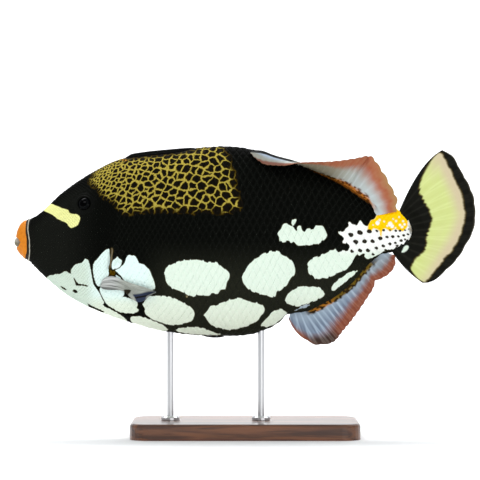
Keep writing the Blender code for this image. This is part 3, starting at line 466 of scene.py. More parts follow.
def give(mesh, name, values):
    """Store three numbers for each vertex."""
    layer = mesh.attributes.new(name, "FLOAT_VECTOR", "POINT")
    layer.data.foreach_set("vector", np.ascontiguousarray(values, dtype=np.float32).ravel())


def mark(mesh, points, at_points, arc, pale_rim=0.0, dark_rim=0.0):
    """Give a mesh what the hide's material reads; pale_rim and dark_rim tint plate rims on white and on
    black. A pale_rim below 0 makes rims paler, not drabber, as painted light against the shade in the grooves
    between plates; the paler grey rims on black are partly pale edges and partly painted highlight.
    """
    marks, tint, dark = markings(at_points[:, 0], at_points[:, 2], points[:, 1])
    give(mesh, "marks", marks)
    give(mesh, "tint", mix_paint(tint, colour(150, 146, 122), np.ravel(pale_rim)))
    give(mesh, "dark", mix_paint(dark, colour(44, 46, 42), np.ravel(dark_rim)))
    give(mesh, "net", net_place(points[:, 0], arc))


def add_node(tree, kind, values=(), **settings):
    """New node; values go to its inputs by name or number, from a socket or as they are."""
    item = tree.nodes.new(kind)
    for key, value in settings.items():
        setattr(item, key, value)
    for key, value in dict(values).items():
        if isinstance(value, bpy.types.NodeSocket):
            tree.links.new(value, item.inputs[key])
        else:
            item.inputs[key].default_value = value
    return item


def new_material(name, roughness, coat=0.0, specular=0.5, metallic=0.0, tint=None):
    """Material with its shader's plain values; tint is three linear parts."""
    material = bpy.data.materials.new(name)
    material.use_nodes = True
    shader = material.node_tree.nodes["Principled BSDF"]
    shader.inputs["Roughness"].default_value = roughness
    shader.inputs["Coat Weight"].default_value = coat
    shader.inputs["Specular IOR Level"].default_value = specular
    shader.inputs["Metallic"].default_value = metallic
    if tint is not None:
        shader.inputs["Base Color"].default_value = (*tint, 1.0)
    return material, material.node_tree, shader


def smooth_map(tree, value, low, high):
    """Smooth rise of a socket from 0 at low to 1 at high."""
    item = add_node(
        tree, "ShaderNodeMapRange", {"Value": value, "From Min": low, "From Max": high},
        interpolation_type="SMOOTHSTEP",
    )
    return item.outputs["Result"]


def maths(tree, operation, first, second=0.0):
    return add_node(tree, "ShaderNodeMath", {0: first, 1: second}, operation=operation).outputs[0]


def blend(tree, factor, first, second):
    """Colour between two, each a socket or three linear parts."""
    first, second = (
        part if isinstance(part, bpy.types.NodeSocket) else (*part, 1.0) for part in (first, second)
    )
    item = add_node(tree, "ShaderNodeMix", data_type="RGBA")
    for socket, value in ((item.inputs[0], factor), (item.inputs[6], first), (item.inputs[7], second)):
        if isinstance(value, bpy.types.NodeSocket):
            tree.links.new(value, socket)
        else:
            socket.default_value = value
    return item.outputs[2]


def times(tree, vector, factors):
    """Vector socket times three numbers."""
    item = add_node(tree, "ShaderNodeVectorMath", {0: vector, 1: factors}, operation="MULTIPLY")
    return item.outputs[0]


def noise_on(tree, place, scale, detail, distortion=0.0):
    """Noise node that reads a place; its first output is the tone."""
    return add_node(
        tree, "ShaderNodeTexNoise",
        {"Vector": place, "Scale": scale, "Detail": detail, "Distortion": distortion},
    )


def rough_up(tree, shader, height, strength):
    """Bumps as high as a socket says, a tenth of a millimetre at most."""
    bump = add_node(
        tree, "ShaderNodeBump", {"Height": height, "Strength": strength, "Distance": 0.1 * MM},
    )
    tree.links.new(bump.outputs[0], shader.inputs["Normal"])


def grain(tree, shader, scale, strength):
    """Fine bumps over a piece, from its own coordinates."""
    place = add_node(tree, "ShaderNodeTexCoord").outputs["Object"]
    rough_up(tree, shader, noise_on(tree, place, scale, 2.0).outputs[0], strength)


def hide_material(name, roughness, specular):
    """Black hide with white spots, gold net and yellow marks, crisp from stored distances."""
    material, tree, shader = new_material(name, roughness, specular=specular)
    read = {
        title: add_node(tree, "ShaderNodeAttribute", attribute_name=title)
        for title in ("marks", "tint", "dark", "net")
    }
    parts = add_node(tree, "ShaderNodeSeparateXYZ", {0: read["marks"].outputs["Vector"]}).outputs
    in_net = read["net"].outputs["Vector"]
    line_width = add_node(tree, "ShaderNodeSeparateXYZ", {0: in_net}).outputs["Z"]
    wander = noise_on(tree, in_net, 1.3, 1.0)
    offset = times(tree, wander.outputs["Color"], (0.65, 0.65, 0.0))
    place = add_node(tree, "ShaderNodeVectorMath", {0: in_net, 1: offset}, operation="ADD").outputs[0]
    cells = {"Vector": place, "Scale": 1.0, "Randomness": 0.78}
    edge, middle = (
        add_node(
            tree, "ShaderNodeTexVoronoi", cells, voronoi_dimensions="2D", feature=feature,
        ).outputs["Distance"]
        for feature in ("DISTANCE_TO_EDGE", "F1")
    )
    inside = smooth_map(tree, parts["Y"], 0.0, 6.0)
    full = maths(tree, "ADD", maths(tree, "MULTIPLY", inside, 0.7), 0.3)
    uneven = maths(tree, "ADD", wander.outputs["Fac"], 0.45)
    width = maths(tree, "MULTIPLY", maths(tree, "MULTIPLY", line_width, full), uneven)
    corner = maths(tree, "MULTIPLY", maths(tree, "SUBTRACT", middle, 0.66), 0.6)
    line = maths(tree, "MAXIMUM", maths(tree, "SUBTRACT", width, edge), corner)
    rimmed = blend(tree, smooth_map(tree, line, -0.14, -0.02), colour(24, 22, 18), colour(52, 40, 8))
    gold = blend(tree, inside, colour(64, 52, 18), colour(172, 155, 68))
    netted = blend(tree, smooth_map(tree, line, -0.035, 0.035), rimmed, gold)
    saddled = smooth_map(tree, parts["Y"], -0.5, 0.7)
    body = blend(tree, saddled, read["dark"].outputs["Color"], netted)
    fringe = maths(tree, "MULTIPLY", smooth_map(tree, parts["X"], -0.7, -0.1), 0.55)
    edged = blend(tree, fringe, body, colour(70, 60, 24))
    final = blend(tree, smooth_map(tree, parts["X"], -0.16, 0.2), edged, read["tint"].outputs["Color"])
    tree.links.new(final, shader.inputs["Base Color"])
    grain(tree, shader, 1400.0, 0.25)
    return material


def even_columns(count):
    """Stations along the body, closer together where there is more to show."""
    spacing = [
        (FRONT_X, 0.5), (-128.0, 0.55), (-110.0, 0.6), (-102.0, 0.45), (-96.0, 0.45),
        (-88.0, 0.8), (0.0, 0.95), (REAR_X, 0.8),
    ]
    fine = np.linspace(FRONT_X, REAR_X, 3001)
    count_to = np.concatenate(([0.0], np.cumsum(1 / curve(spacing, fine[:-1]))))
    return np.interp(np.linspace(0, count_to[-1], count), count_to, fine)


def mesh_from(shape, name):
    """Mesh of a finished bmesh, which is freed."""
    mesh = bpy.data.meshes.new(name)
    shape.to_mesh(mesh)
    shape.free()
    return mesh


def vertex_places(mesh):
    places = np.empty(len(mesh.vertices) * 3, np.float32)
    mesh.vertices.foreach_get("co", places)
    return places.reshape(-1, 3).astype(float)


def grid_mesh(columns, rows, doubled=False):
    """Flat grid over the unit square; doubled adds a second sheet at z 1 joined at the rim."""
    grid = bmesh.new()
    bmesh.ops.create_grid(grid, x_segments=columns, y_segments=rows, size=0.5)
    bmesh.ops.translate(grid, vec=(0.5, 0.5, 0.0), verts=grid.verts[:])
    if doubled:
        made = bmesh.ops.extrude_face_region(grid, geom=grid.faces[:], use_keep_orig=True)["geom"]
        lifted = [item for item in made if isinstance(item, bmesh.types.BMVert)]
        bmesh.ops.translate(grid, vec=(0.0, 0.0, 1.0), verts=lifted)
    bmesh.ops.recalc_face_normals(grid, faces=grid.faces[:])
    mesh = mesh_from(grid, "grid")
    return mesh, vertex_places(mesh)


def set_points(mesh, points):
    """Move a mesh's vertices to points in millimetres."""
    mesh.vertices.foreach_set("co", np.ascontiguousarray(points * MM, dtype=np.float32).ravel())


def tidy(mesh, weld=0.0, close=False):
    """Weld and close a mesh, and turn its faces outward."""
    body = bmesh.new()
    body.from_mesh(mesh)
    if weld:
        bmesh.ops.remove_doubles(body, verts=body.verts[:], dist=weld)
    if close:
        rim = [edge for edge in body.edges if edge.is_boundary]
        bmesh.ops.holes_fill(body, edges=rim, sides=0)
    bmesh.ops.recalc_face_normals(body, faces=body.faces[:])
    body.to_mesh(mesh)
    body.free()


def add_piece(name, mesh, material, slot, *nodes):
    """Visible piece in the place of the named nodes."""
    mesh.name = name
    mesh.materials.clear()
    mesh.materials.append(material)
    mesh.shade_smooth()
    piece = bpy.data.objects.new(name, mesh)
    bpy.context.scene.collection.objects.link(piece)
    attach(piece, "root")
    if nodes:
        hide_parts(*nodes)


SKIN_COLUMNS, SKIN_ROWS = 380, 230
ROW_CROWDING = 0.175  # how much closer the rows lie on the flanks than along the back
STRETCHED = 20.0  # length before the rear end that follows the stalk's rounded end
END_INSET = 3.2  # how far the last ring is drawn in, to close the end
skin_mesh, flat = grid_mesh(SKIN_COLUMNS, SKIN_ROWS)
columns = even_columns(SKIN_COLUMNS + 1)
skin_x = columns[np.rint(flat[:, 0] * SKIN_COLUMNS).astype(int)]
turn = (flat[:, 1] * 2 - 0.5) * math.pi
skin_angle = turn - ROW_CROWDING * np.sin(2 * turn)
skin_end = curve(SKIN_END, hide(skin_x, skin_angle)[:, 2])
skin_x = skin_x + (skin_end - REAR_X) * np.clip((skin_x - REAR_X + STRETCHED) / STRETCHED, 0, 1)
skin_hide = hide(skin_x, skin_angle)
last_ring = flat[:, 0] > 1 - 0.5 / SKIN_COLUMNS
skin_out = relief(skin_hide) - COAT_DEPTH - END_INSET * last_ring
set_points(skin_mesh, skin_hide + hide_normal(skin_x, skin_angle) * skin_out[:, None])
mark(skin_mesh, skin_hide, skin_hide, arc_down(skin_x, skin_angle))
corner_vertex = np.empty(len(skin_mesh.loops), np.int32)
skin_mesh.loops.foreach_get("vertex_index", corner_vertex)
unwrap = flat[corner_vertex, :2].astype(np.float32)
skin_mesh.uv_layers.new(name="OFBake").data.foreach_set("uv", unwrap.ravel())
tidy(skin_mesh, weld=1e-6, close=True)
skin_look = hide_material("skin", 0.5, 0.025)
add_piece("skin", skin_mesh, skin_look, "skin", "head", "trunk", "tail_stalk")

# Scales
# The real scales are bony lozenges set edge to edge, small and round on the head and tall
# on the flank, with larger scutes behind the gill slit. Each is a closed domed plate that
# follows the skin, and they are joined into one mesh for each stretch of each flank.

# Size of a scale's cell at points along the body, then the middle of each scute as (x, z)
SCALE_WIDTH = [(-98.0, 3.4), (-60.0, 4.2), (-10.0, 5.0), (70.0, 5.2), (100.0, 3.4), (REAR_X, 2.4)]
SCALE_HEIGHT = [
    (-98.0, 6.0), (-60.0, 7.6), (-10.0, 9.6), (45.0, 10.4), (75.0, 8.0), (100.0, 4.6), (REAR_X, 3.0),
]
HEAD_WIDTH = [(FRONT_X, 1.7), (-140.0, 1.9), (-98.0, 2.5)]
HEAD_HEIGHT = [(FRONT_X, 2.1), (-140.0, 2.4), (-98.0, 3.4)]
SCUTES = [(-95.6, 141.2), (-91.6, 137.4), (-96.8, 135.6), (-92.6, 132.2), (-97.4, 130.4)]
PLATE_FOOT = -0.25  # a plate's underside, from the hide's outer face, before the coat's depth
PLATE_SHARE = 0.975  # part of its cell that a scale fills
RIDGE_MARGIN = 0.45  # scales are squeezed short of the middle of the back and belly

# Even shares of the length round the body, turned into shares of the half turn
even = np.linspace(0, 1, 241)
TURNS = np.stack([np.interp(even, line / line[-1], arc_angles / math.pi) for line in ARCS])
scale_look = hide_material("scales", 0.42, 0.009)


def arc_share(x, share):
    """Share of the half turn from back to belly at a share of the length round the body."""
    return sample(TURNS, x, share)


def scale_template(cells, roundness):
    """One plate over a lozenge: places across and up it, how near its rim, and its faces."""
    mesh, flat = grid_mesh(cells, cells, doubled=True)
    tidy(mesh)
    s, t = flat[:, 0] * 2 - 1, flat[:, 1] * 2 - 1
    square = np.maximum(np.abs(s), np.abs(t))
    across, up = (s - t) / 2, (s + t) / 2
    length = np.maximum(np.hypot(across, up), 1e-6)
    round_across, round_up = across / length * square, up / length * square
    across += (round_across - across) * roundness
    up += (round_up - up) * roundness
    faces = [list(face.vertices) for face in mesh.polygons if len(face.vertices) == 4]
    bpy.data.meshes.remove(mesh)
    return across, up, square, flat[:, 2] > 0.5, np.array(faces)


def lattice(width, first_x, last_x):
    """Lozenge centres as (x, cells from the middle of the flank) for a whole flank."""
    fine = np.linspace(first_x, last_x, 4001)
    count_to = np.concatenate(([0.0], np.cumsum(np.diff(fine) / curve(width, fine[:-1]))))
    cells = []
    for half in range(int(2 * count_to[-1]) + 1):
        rows = np.arange(-40, 41) + (0.5 if half % 2 else 0.0)
        cells += [(half / 2, row) for row in rows]
    return np.array(cells), fine, count_to


def clear_of_details(x, z, y):
    """Whether a scale may stand here, off the eye, scutes, nostrils, gill slit and spine groove."""
    free = np.hypot(x - EYE_X, z - EYE_Z) > 8.9
    for places, clearance in ((SCUTES, 2.3), (NOSTRILS, 1.9)):
        for place_x, place_z in places:
            free &= np.hypot(x - place_x, z - place_z) > clearance
    free &= ~((np.abs(past_gill_cut(x, z)) < 1.5) & (z > GILL_SLIT[0] - 1) & (z < GILL_SLIT[1] + 1))
    start, end = SPINE_GROOVE
    free &= ~((np.abs(y) < 3.6) & (z > BACK_LEVEL) & (x > start - 1) & (x < end - 0.6))
    return free


def joined_plates(name, points, faces, side):
    """One mesh of many plates of one template, and the order of its corners."""
    total, per = points.shape[:2]
    order = (faces[None, :, :] + (np.arange(total) * per)[:, None, None]).reshape(-1, 4)
    order = order[:, ::-1] if side < 0 else order
    mesh = bpy.data.meshes.new(name)
    mesh.vertices.add(total * per)
    mesh.loops.add(len(order) * 4)
    mesh.polygons.add(len(order))
    mesh.loops.foreach_set("vertex_index", order.astype(np.int32).ravel())
    mesh.polygons.foreach_set("loop_start", np.arange(0, len(order) * 4, 4, dtype=np.int32))
    set_points(mesh, points.reshape(-1, 3))
    mesh.update(calc_edges=True)
    return mesh, order


def lay_out(mesh, order, root_x, root_angle, across, up):
    """Small patch for each plate at its root's place on the skin's unwrap."""
    patch_size = 0.0015
    share_x = np.searchsorted(columns, root_x) / len(columns)
    turns = np.linspace(-math.pi / 2, 3 * math.pi / 2, 2001)
    root_turn = np.interp(root_angle, turns - ROW_CROWDING * np.sin(2 * turns), turns)
    share_y = (root_turn / math.pi + 0.5) / 2
    patch = np.stack((share_x[:, None] + across * patch_size, share_y[:, None] + up * patch_size), -1)
    layer = mesh.uv_layers.new(name="OFBake")
    layer.data.foreach_set("uv", patch.reshape(-1, 2)[order.ravel()].astype(np.float32).ravel())


def dome_over(square):
    """Height of a round dome, 1 in the middle and 0 at the rim."""
    return np.sqrt(np.maximum(1 - square ** 2, 0))


def scute_piece(name, side):
    """Large bony plates behind the gill slit, with ridges that fan out from the middle."""
    across, up, square, upper, faces = scale_template(20, 0.6)
    middle_x, middle_z = np.array(SCUTES).T
    x = middle_x[:, None] + 2.45 * across
    z = middle_z[:, None] + 2.75 * up
    base, normal = on_hide(x, z, side)
    fan = 1 + 0.3 * np.sin(np.arctan2(up, across) * 13) * ramp(square, 0.1, 0.5)
    lift = np.where(upper, 0.75 * dome_over(square) * fan + 0.1, PLATE_FOOT) - COAT_DEPTH
    points = base + normal * (lift + relief(base))[..., None]
    mesh, order = joined_plates(name, points, faces, -side)
    rim = np.tile(ramp(square, 0.7, 0.95), len(SCUTES))
    flat_base = base.reshape(-1, 3)
    arc = arc_down(x, angle_at(x, z, side)).ravel()
    mark(mesh, flat_base, flat_base, arc, rim * 0.2, rim * 0.35 + 0.1)
    lay_out(mesh, order, middle_x, angle_at(middle_x, middle_z, side), across, up)
    add_piece(name, mesh, scale_look, "skin")


def scale_piece(name, side, head, first_x, last_x, cells, roundness, dome, keel, pale_rim, dark_rim):
    """Joined plates over one stretch of one flank."""
    width, height = (HEAD_WIDTH, HEAD_HEIGHT) if head else (SCALE_WIDTH, SCALE_HEIGHT)
    limits = (FRONT_X, -90.0) if head else (-110.0, 125.5)
    spots, fine, count_to = lattice(width, *limits)

    # Cells whose middle lies in this stretch and clear of the details
    centre_x = np.interp(spots[:, 0], count_to, fine)
    tall = curve(height, centre_x)
    whole_arc = sample(ARCS, centre_x, np.ones(len(centre_x)))
    centre_arc = arc_down(centre_x, np.zeros(len(centre_x))) + spots[:, 1] * tall
    centre_angle = math.pi / 2 - arc_share(centre_x, centre_arc / whole_arc) * math.pi
    centre = hide(centre_x, centre_angle)
    cut = past_gill_cut(centre[:, 0], centre[:, 2])
    keep = (centre_arc > 0.22 * tall) & (centre_arc < whole_arc - 0.22 * tall)
    keep &= (centre_x > first_x) & (centre_x <= last_x) & ((cut < 0) if head else (cut >= 0))
    keep &= clear_of_details(centre[:, 0], centre[:, 2], centre[:, 1])
    keep &= centre[:, 0] < curve(SKIN_END, centre[:, 2]) - 0.7
    spots, centre, centre_angle = spots[keep], centre[keep], centre_angle[keep]

    # One plate in each, squeezed where it would cross the back or the belly
    across, up, square, upper, faces = scale_template(cells, roundness)
    x = np.interp(spots[:, 0, None] + across[None, :] * 0.5 * PLATE_SHARE, count_to, fine)
    rows = spots[:, 1, None] + up[None, :] * 0.5 * PLATE_SHARE
    whole_arc = sample(ARCS, x, np.ones(x.shape))
    arc = arc_down(x, np.zeros(x.shape)) + rows * curve(height, x)
    short = np.maximum(RIDGE_MARGIN - arc, 0)
    arc = np.where(short > 0, RIDGE_MARGIN / (1 + short / RIDGE_MARGIN), arc)
    over = np.maximum(arc - (whole_arc - RIDGE_MARGIN), 0)
    arc = np.where(over > 0, whole_arc - RIDGE_MARGIN / (1 + over / RIDGE_MARGIN), arc)
    angle = math.pi / 2 - arc_share(x, arc / whole_arc) * math.pi
    if side < 0:
        angle, centre_angle = math.pi - angle, math.pi - centre_angle
    base = hide(x, angle)
    normal = hide_normal(x, angle)
    rise = dome * dome_over(square) + 0.16 + 0.1 * across
    rise += keel * np.exp(-((across / 0.7) ** 2 + (up / 0.16) ** 2))
    lift = np.where(upper, rise, PLATE_FOOT) - COAT_DEPTH
    points = base + normal * (lift[None, :] + relief(base))[..., None]
    mesh, order = joined_plates(name, points, faces, side)
    near = base + (centre[:, None, :] * (1, side, 1) - base) * 0.15
    # Rim paint, partly painted highlight: it fades out on plates that face up or down, where the lamp above
    # lights them.
    rim = (ramp(square, 0.6, 0.95) * ramp(np.abs(normal[..., 1]), 0.1, 0.8)).ravel()
    mark(mesh, base.reshape(-1, 3), near.reshape(-1, 3), arc.ravel(), rim * pale_rim, rim * dark_rim)
    lay_out(mesh, order, centre[:, 0], centre_angle, across, up)
    add_piece(name, mesh, scale_look, "skin")


# The last two numbers tint the rims on white and on black; -0.14 paints the white rims lighter, painted light
# against the shade in the grooves.
for side, name in ((-1, "left"), (1, "right")):
    scale_piece(f"scales_{name}_head", side, True, -160.6, -90.0, 4, 0.75, 0.16, 0.0, 0.1, 0.1)
    scale_piece(f"scales_{name}_front", side, False, -110.0, -25.0, 6, 0.25, 0.15, 0.03, -0.14, 0.22)
    scute_piece(f"scutes_{name}", side)
    scale_piece(f"scales_{name}_rear", side, False, -25.0, 124.5, 6, 0.18, 0.18, 0.08, -0.14, 0.27)

# Lips
# Fleshy orange lips make one muzzle that the line of the mouth divides, with a pale fold of
# skin behind. Here they are one closed tube with fine wrinkles, the mouth line pressed in
# and a hollow in front for the teeth, and the fold is a bead laid round the snout.
LIP_TOP = [(-171.6, 150.5), (-171.1, 153.2), (-169.8, 156.6), (-166.8, 160.6), (-162.3, 162.6)]
LIP_BOTTOM = [(-171.6, 141.6), (-170.8, 139.4), (-168.7, 136.5), (-165.5, 133.4), (-162.3, 131.5)]
LIP_HALF_WIDTH = [(-171.6, 3.6), (-170.8, 5.4), (-168.8, 7.8), (-165.4, 9.7), (-162.3, 9.3)]
MOUTH_Z = 145.4
MUZZLE_X, MUZZLE_LENGTH = -171.6, 9.3
CAP_SHARE = 0.12  # part of the tube that rounds off its front
LIP_BACK = [
    (131.0, -165.0), (134.3, -164.3), (139.5, -162.9), (147.0, -162.9), (153.8, -163.8),
    (160.5, -163.8), (162.4, -163.1),
]
FOLD_X = [
    (131.0, -162.2), (136.0, -161.2), (139.5, -160.9), (146.0, -160.9), (150.0, -161.5),
    (156.0, -162.3), (160.0, -162.1), (163.0, -161.6),
]


def tube_mesh(stations, around, place):
    """Tube; place turns shares along and turns around into points."""
    mesh, flat = grid_mesh(stations, around)
    points = place(flat[:, 0], flat[:, 1] * 2 * math.pi)
    set_points(mesh, points)
    return mesh, points


def painted(name, roughness, coat=0.0, specular=0.35, grain_scale=1200.0, grain_strength=0.15):
    """Material that shows a piece's own stored colours."""
    material, tree, shader = new_material(name, roughness, coat, specular)
    read = add_node(tree, "ShaderNodeAttribute", attribute_name="paint")
    tree.links.new(read.outputs["Color"], shader.inputs["Base Color"])
    grain(tree, shader, grain_scale, grain_strength)
    return material


def muzzle(share, turn):
    """Both lips as one tube, with the line between them and the mouth's hollow in front."""
    cap = np.clip(share / CAP_SHARE, 0, 1) * math.pi / 2
    full = np.sin(cap)
    x = MUZZLE_X + (share - CAP_SHARE) / (1 - CAP_SHARE) * MUZZLE_LENGTH
    x = np.where(share < CAP_SHARE, MUZZLE_X - 0.4 * np.cos(cap), x)
    top, bottom = curve(LIP_TOP, x), curve(LIP_BOTTOM, x)
    wrinkle = 0.007 * np.sin(turn * 46 + 2 * np.sin(share * 11)) + 0.012 * np.sin(share * 20)
    full = full * (1 + wrinkle * ramp(share, 0.1, 0.3))
    y = full * curve(LIP_HALF_WIDTH, x) * np.cos(turn)
    z = (top + bottom) / 2 + full * (top - bottom) / 2 * np.sin(turn)
    points = np.stack((x, y, z), 1)
    inward = unit(np.array([-160.0, 0.0, MOUTH_Z]) - points)
    parted = 0.7 * hill(z - MOUTH_Z, 0.4) * ramp(-x, 166.8, 168.4)
    points = points + inward * parted[:, None]
    hollow = 1 - (points[:, 1] / 9.4) ** 2 - ((points[:, 2] - MOUTH_Z) / 4.0) ** 2
    back = -170.4 + 4.3 * np.sqrt(np.maximum(hollow, 0))
    points[:, 0] = np.where(hollow > 0, np.maximum(points[:, 0], back), points[:, 0])
    return points


lip_mesh, lip_points = tube_mesh(130, 260, muzzle)
lip_x, lip_y, lip_z = lip_points.T
rosy = ramp(np.sin(lip_y * 1.7) * np.cos(lip_z * 1.3), -0.5, 1.0)
# Darker brown round the front of the mouth, over the parting and the hollow for the teeth.
round_mouth = ramp(-np.hypot(lip_y / 8.4, (lip_z - MOUTH_Z) / 3.8), -1.0, -0.85)
behind = ramp(lip_x - curve(LIP_BACK, lip_z), -0.35, 0.1)
lip_paint = mix_paint(colour(214, 127, 28), colour(206, 118, 24), rosy)
lip_paint = mix_paint(lip_paint, colour(120, 66, 30), round_mouth)
lip_paint = mix_paint(lip_paint, colour(38, 26, 14), behind)
give(lip_mesh, "paint", lip_paint)
tidy(lip_mesh, weld=1e-6, close=True)
lip_look = painted("lip_flesh", 0.5, specular=0.2, grain_strength=0.4)
add_piece("lips", lip_mesh, lip_look, "lips", "lip_upper", "lip_lower")


def fold_place(share, turn):
    """Bead round the snout, on the hide."""
    angle = share * 2 * math.pi
    x = curve(FOLD_X, hide(np.full(share.shape, -161.4), angle)[:, 2])
    normal = hide_normal(np.maximum(x, -162.0), angle)
    ahead = unit(np.array([1.0, 0.0, 0.0]) - normal * normal[:, :1])
    size = 0.42 + 0.05 * np.sin(angle * 23)
    return (
        hide(x, angle) - normal * 0.15
        + (ahead * np.cos(turn)[:, None] + normal * np.sin(turn)[:, None]) * size[:, None]
    )


fold_mesh, _ = tube_mesh(180, 10, fold_place)
tidy(fold_mesh, weld=1e-6)
fold_look = new_material("lip_fold", 0.5, specular=0.3, tint=colour(176, 172, 156))[0]
add_piece("lip_fold", fold_mesh, fold_look, "skin")

# Teeth
# Two pairs of strong teeth in each jaw show between the lips. Each is a rounded half bead,
# cut flat where it bites, of stained grey-white enamel, with painted shade on the lower teeth.
TOOTH_PLACES = [(-170.4, 1.36, 1.33, 2.45), (-169.9, 4.06, 1.33, 2.5)]  # x, y, half width, half depth
TOOTH_HEIGHT = 3.39
row_of_teeth = bmesh.new()
for jaw in (-1, 1):
    for tooth_x, tooth_y, half_width, half_depth in TOOTH_PLACES:
        for side in (-1, 1):
            bead = bmesh.ops.create_uvsphere(row_of_teeth, u_segments=40, v_segments=28, radius=1.0)
            for vert in bead["verts"]:
                girth = max(math.hypot(vert.co.x, vert.co.y), 1e-6)
                ahead = math.copysign(abs(vert.co.x / girth) ** 0.5, vert.co.x) * girth
                aside = math.copysign(abs(vert.co.y / girth) ** 0.5, vert.co.y) * girth ** 0.5
                vert.co.x = tooth_x + ahead * half_depth
                vert.co.y = side * tooth_y + aside * half_width
                vert.co.z = MOUTH_Z + jaw * (0.01 + TOOTH_HEIGHT * max(vert.co.z * jaw, 0.0))
bmesh.ops.recalc_face_normals(row_of_teeth, faces=row_of_teeth.faces[:])
bmesh.ops.scale(row_of_teeth, vec=(MM, MM, MM), verts=row_of_teeth.verts[:])
tooth_mesh = mesh_from(row_of_teeth, "teeth")
tooth_z = vertex_places(tooth_mesh)[:, 2] / MM
# Painted shade: the lower jaw's teeth, which face down, are painted darker than the upper ones.
lower_jaw_shade = ramp(-tooth_z, -MOUTH_Z - 0.9, -MOUTH_Z + 0.6)
give(tooth_mesh, "paint", mix_paint(colour(164, 160, 148), colour(118, 112, 92), lower_jaw_shade))
enamel = painted("enamel", 0.25, coat=0.2, grain_scale=900.0, grain_strength=0.1)
add_piece("teeth", tooth_mesh, enamel, "teeth", "teeth_upper", "teeth_lower")

# Eyes
# A dark glossy eyeball sits in a ring of loose skin high on the head. Each ball is a fine
# sphere, coloured by its angle from the pupil, and the lid is a folded ring on the hide.
EYE_RADIUS = 6.2
EYE_SINK = 4.0  # how far the ball's middle lies under the hide
wet_look = painted("wet_eye", 0.05, specular=0.035, grain_strength=0.0)
for side, name in ((-1, "left"), (1, "right")):
    eye_at, eye_normal = on_hide(np.array([EYE_X]), np.array([EYE_Z]), side, np.array([-EYE_SINK]))
    ball = bmesh.new()
    bmesh.ops.create_uvsphere(ball, u_segments=64, v_segments=48, radius=EYE_RADIUS)
    eye_mesh = mesh_from(ball, "eye")
    round_points = vertex_places(eye_mesh)
    open_angle = np.arccos(np.clip(round_points[:, 2] / EYE_RADIUS, -1, 1))
    spoke = np.arctan2(round_points[:, 1], round_points[:, 0])
    iris = mix_paint(colour(6, 7, 8), colour(12, 13, 14), 0.4 + 0.6 * np.sin(spoke * 37) ** 2)
    eye_paint = iris * ramp(open_angle, 0.47, 0.50)[:, None]
    eye_paint += np.outer(hill(open_angle - 0.515, 0.02), colour(24, 25, 25))
    eye_paint = eye_paint * (1 - 0.9 * ramp(open_angle, 0.74, 0.86))[:, None] + colour(3, 3, 4)
    give(eye_mesh, "paint", eye_paint)
    upright = Vector(eye_normal[0]).to_track_quat("Z", "Y").to_matrix().to_4x4()
    eye_mesh.transform(Matrix.Scale(MM, 4) @ Matrix.Translation(eye_at[0]) @ upright)
    tidy(eye_mesh)
    add_piece(f"eye_ball_{name}", eye_mesh, wet_look, "eyes", f"eye_{name}")

    def lid_place(share, turn):
        """Ring round the eye: over its top the folds, under it a floor inside the head."""
        over = np.clip(turn / math.pi, 0, 1)
        last = turn > 2 * math.pi - 0.01
        under = np.where(last, 4.6, 3.6 * np.clip(turn / math.pi - 1, 0, 1))
        radius = 4.75 + 4.6 * over - under
        fold = 0.95 * hill(radius - 5.75, 0.75) + 0.5 * hill(radius - 7.4, 0.55)
        fold += 0.25 * hill(radius - 8.6, 0.4)
        out = np.where((turn < math.pi) | last, fold - 0.1 - 0.6 * ramp(radius, 8.8, 9.35), -1.4)
        angle = share * 2 * math.pi
        return on_hide(EYE_X + radius * np.cos(angle), EYE_Z + radius * np.sin(angle) * 0.97, side, out)[0]

    lid_mesh, lid_points = tube_mesh(96, 36, lid_place)
    mark(lid_mesh, lid_points, lid_points, np.full(len(lid_points), 30.0))
    tidy(lid_mesh, weld=1e-6)
    add_piece(f"eyelid_{name}", lid_mesh, skin_look, "skin")

# First dorsal fin
# The locking trigger spine lies folded in its groove as a long fluted black bone, with a
# rough front edge. It is one closed tube with flutes along it and grains at the front.
TRIGGER_TOP = [
    (-91.0, 209.6), (-87.1, 210.9), (-83.6, 211.9), (-78.4, 212.7), (-70.7, 213.7), (-56.0, 215.1),
    (-43.6, 216.1), (-38.4, 216.3),
]
TRIGGER_HALF_WIDTH = [(-91.0, 0.8), (-87.1, 1.1), (-82.0, 1.8), (-68.0, 1.8), (-50.0, 1.3), (-38.4, 0.6)]
TRIGGER_FRONT, TRIGGER_REAR = -91.5, -36.6


def trigger_place(share, turn):
    """The folded spine's fluted surface, rounded off at both ends."""
    x = TRIGGER_FRONT + (TRIGGER_REAR - TRIGGER_FRONT) * share
    floor = curve(BACK, x) - 1.35
    front_end = np.clip((x - TRIGGER_FRONT + 0.2) / 6.0, 0, 1) ** 0.6
    rear_end = np.clip((TRIGGER_REAR + 0.2 - x) / 3.0, 0, 1) ** 0.4
    top = floor + (curve(TRIGGER_TOP, x) - floor) * front_end * rear_end
    flute = 1 - 0.07 * np.cos(turn * 14) - 0.03 * np.sin(x * 5.1 + turn * 3) * ramp(-x, 66.0, 82.0)
    half_width = curve(TRIGGER_HALF_WIDTH, x) * flute
    rise = np.abs(np.sin(turn)) ** 0.8 * np.sign(np.sin(turn))
    z = (floor + top) / 2 + (top - floor) / 2 * rise * (0.5 + 0.5 * flute)
    y = half_width * np.abs(np.cos(turn)) ** 0.8 * np.sign(np.cos(turn))
    return np.stack((x, y, z), 1)


trigger_mesh, trigger_points = tube_mesh(200, 84, trigger_place)
streak = ramp(np.sin(trigger_points[:, 2] * 9.0), 0.2, 1.0)
give(trigger_mesh, "paint", colour(9, 9, 9) + np.outer(streak, colour(26, 27, 26)))
tidy(trigger_mesh, weld=1e-6, close=True)
bone_look = painted("bone", 0.4, specular=0.06)
add_piece("trigger_spine", trigger_mesh, bone_look, "trigger_spine", "first_dorsal")

# Soft fins
# The second dorsal, anal, tail and pectoral fins are thin membranes on bony rays that fork
# towards the margin. Each is one closed sheet whose surface rises into the rays, and its
# colours are stored along and out the rays.


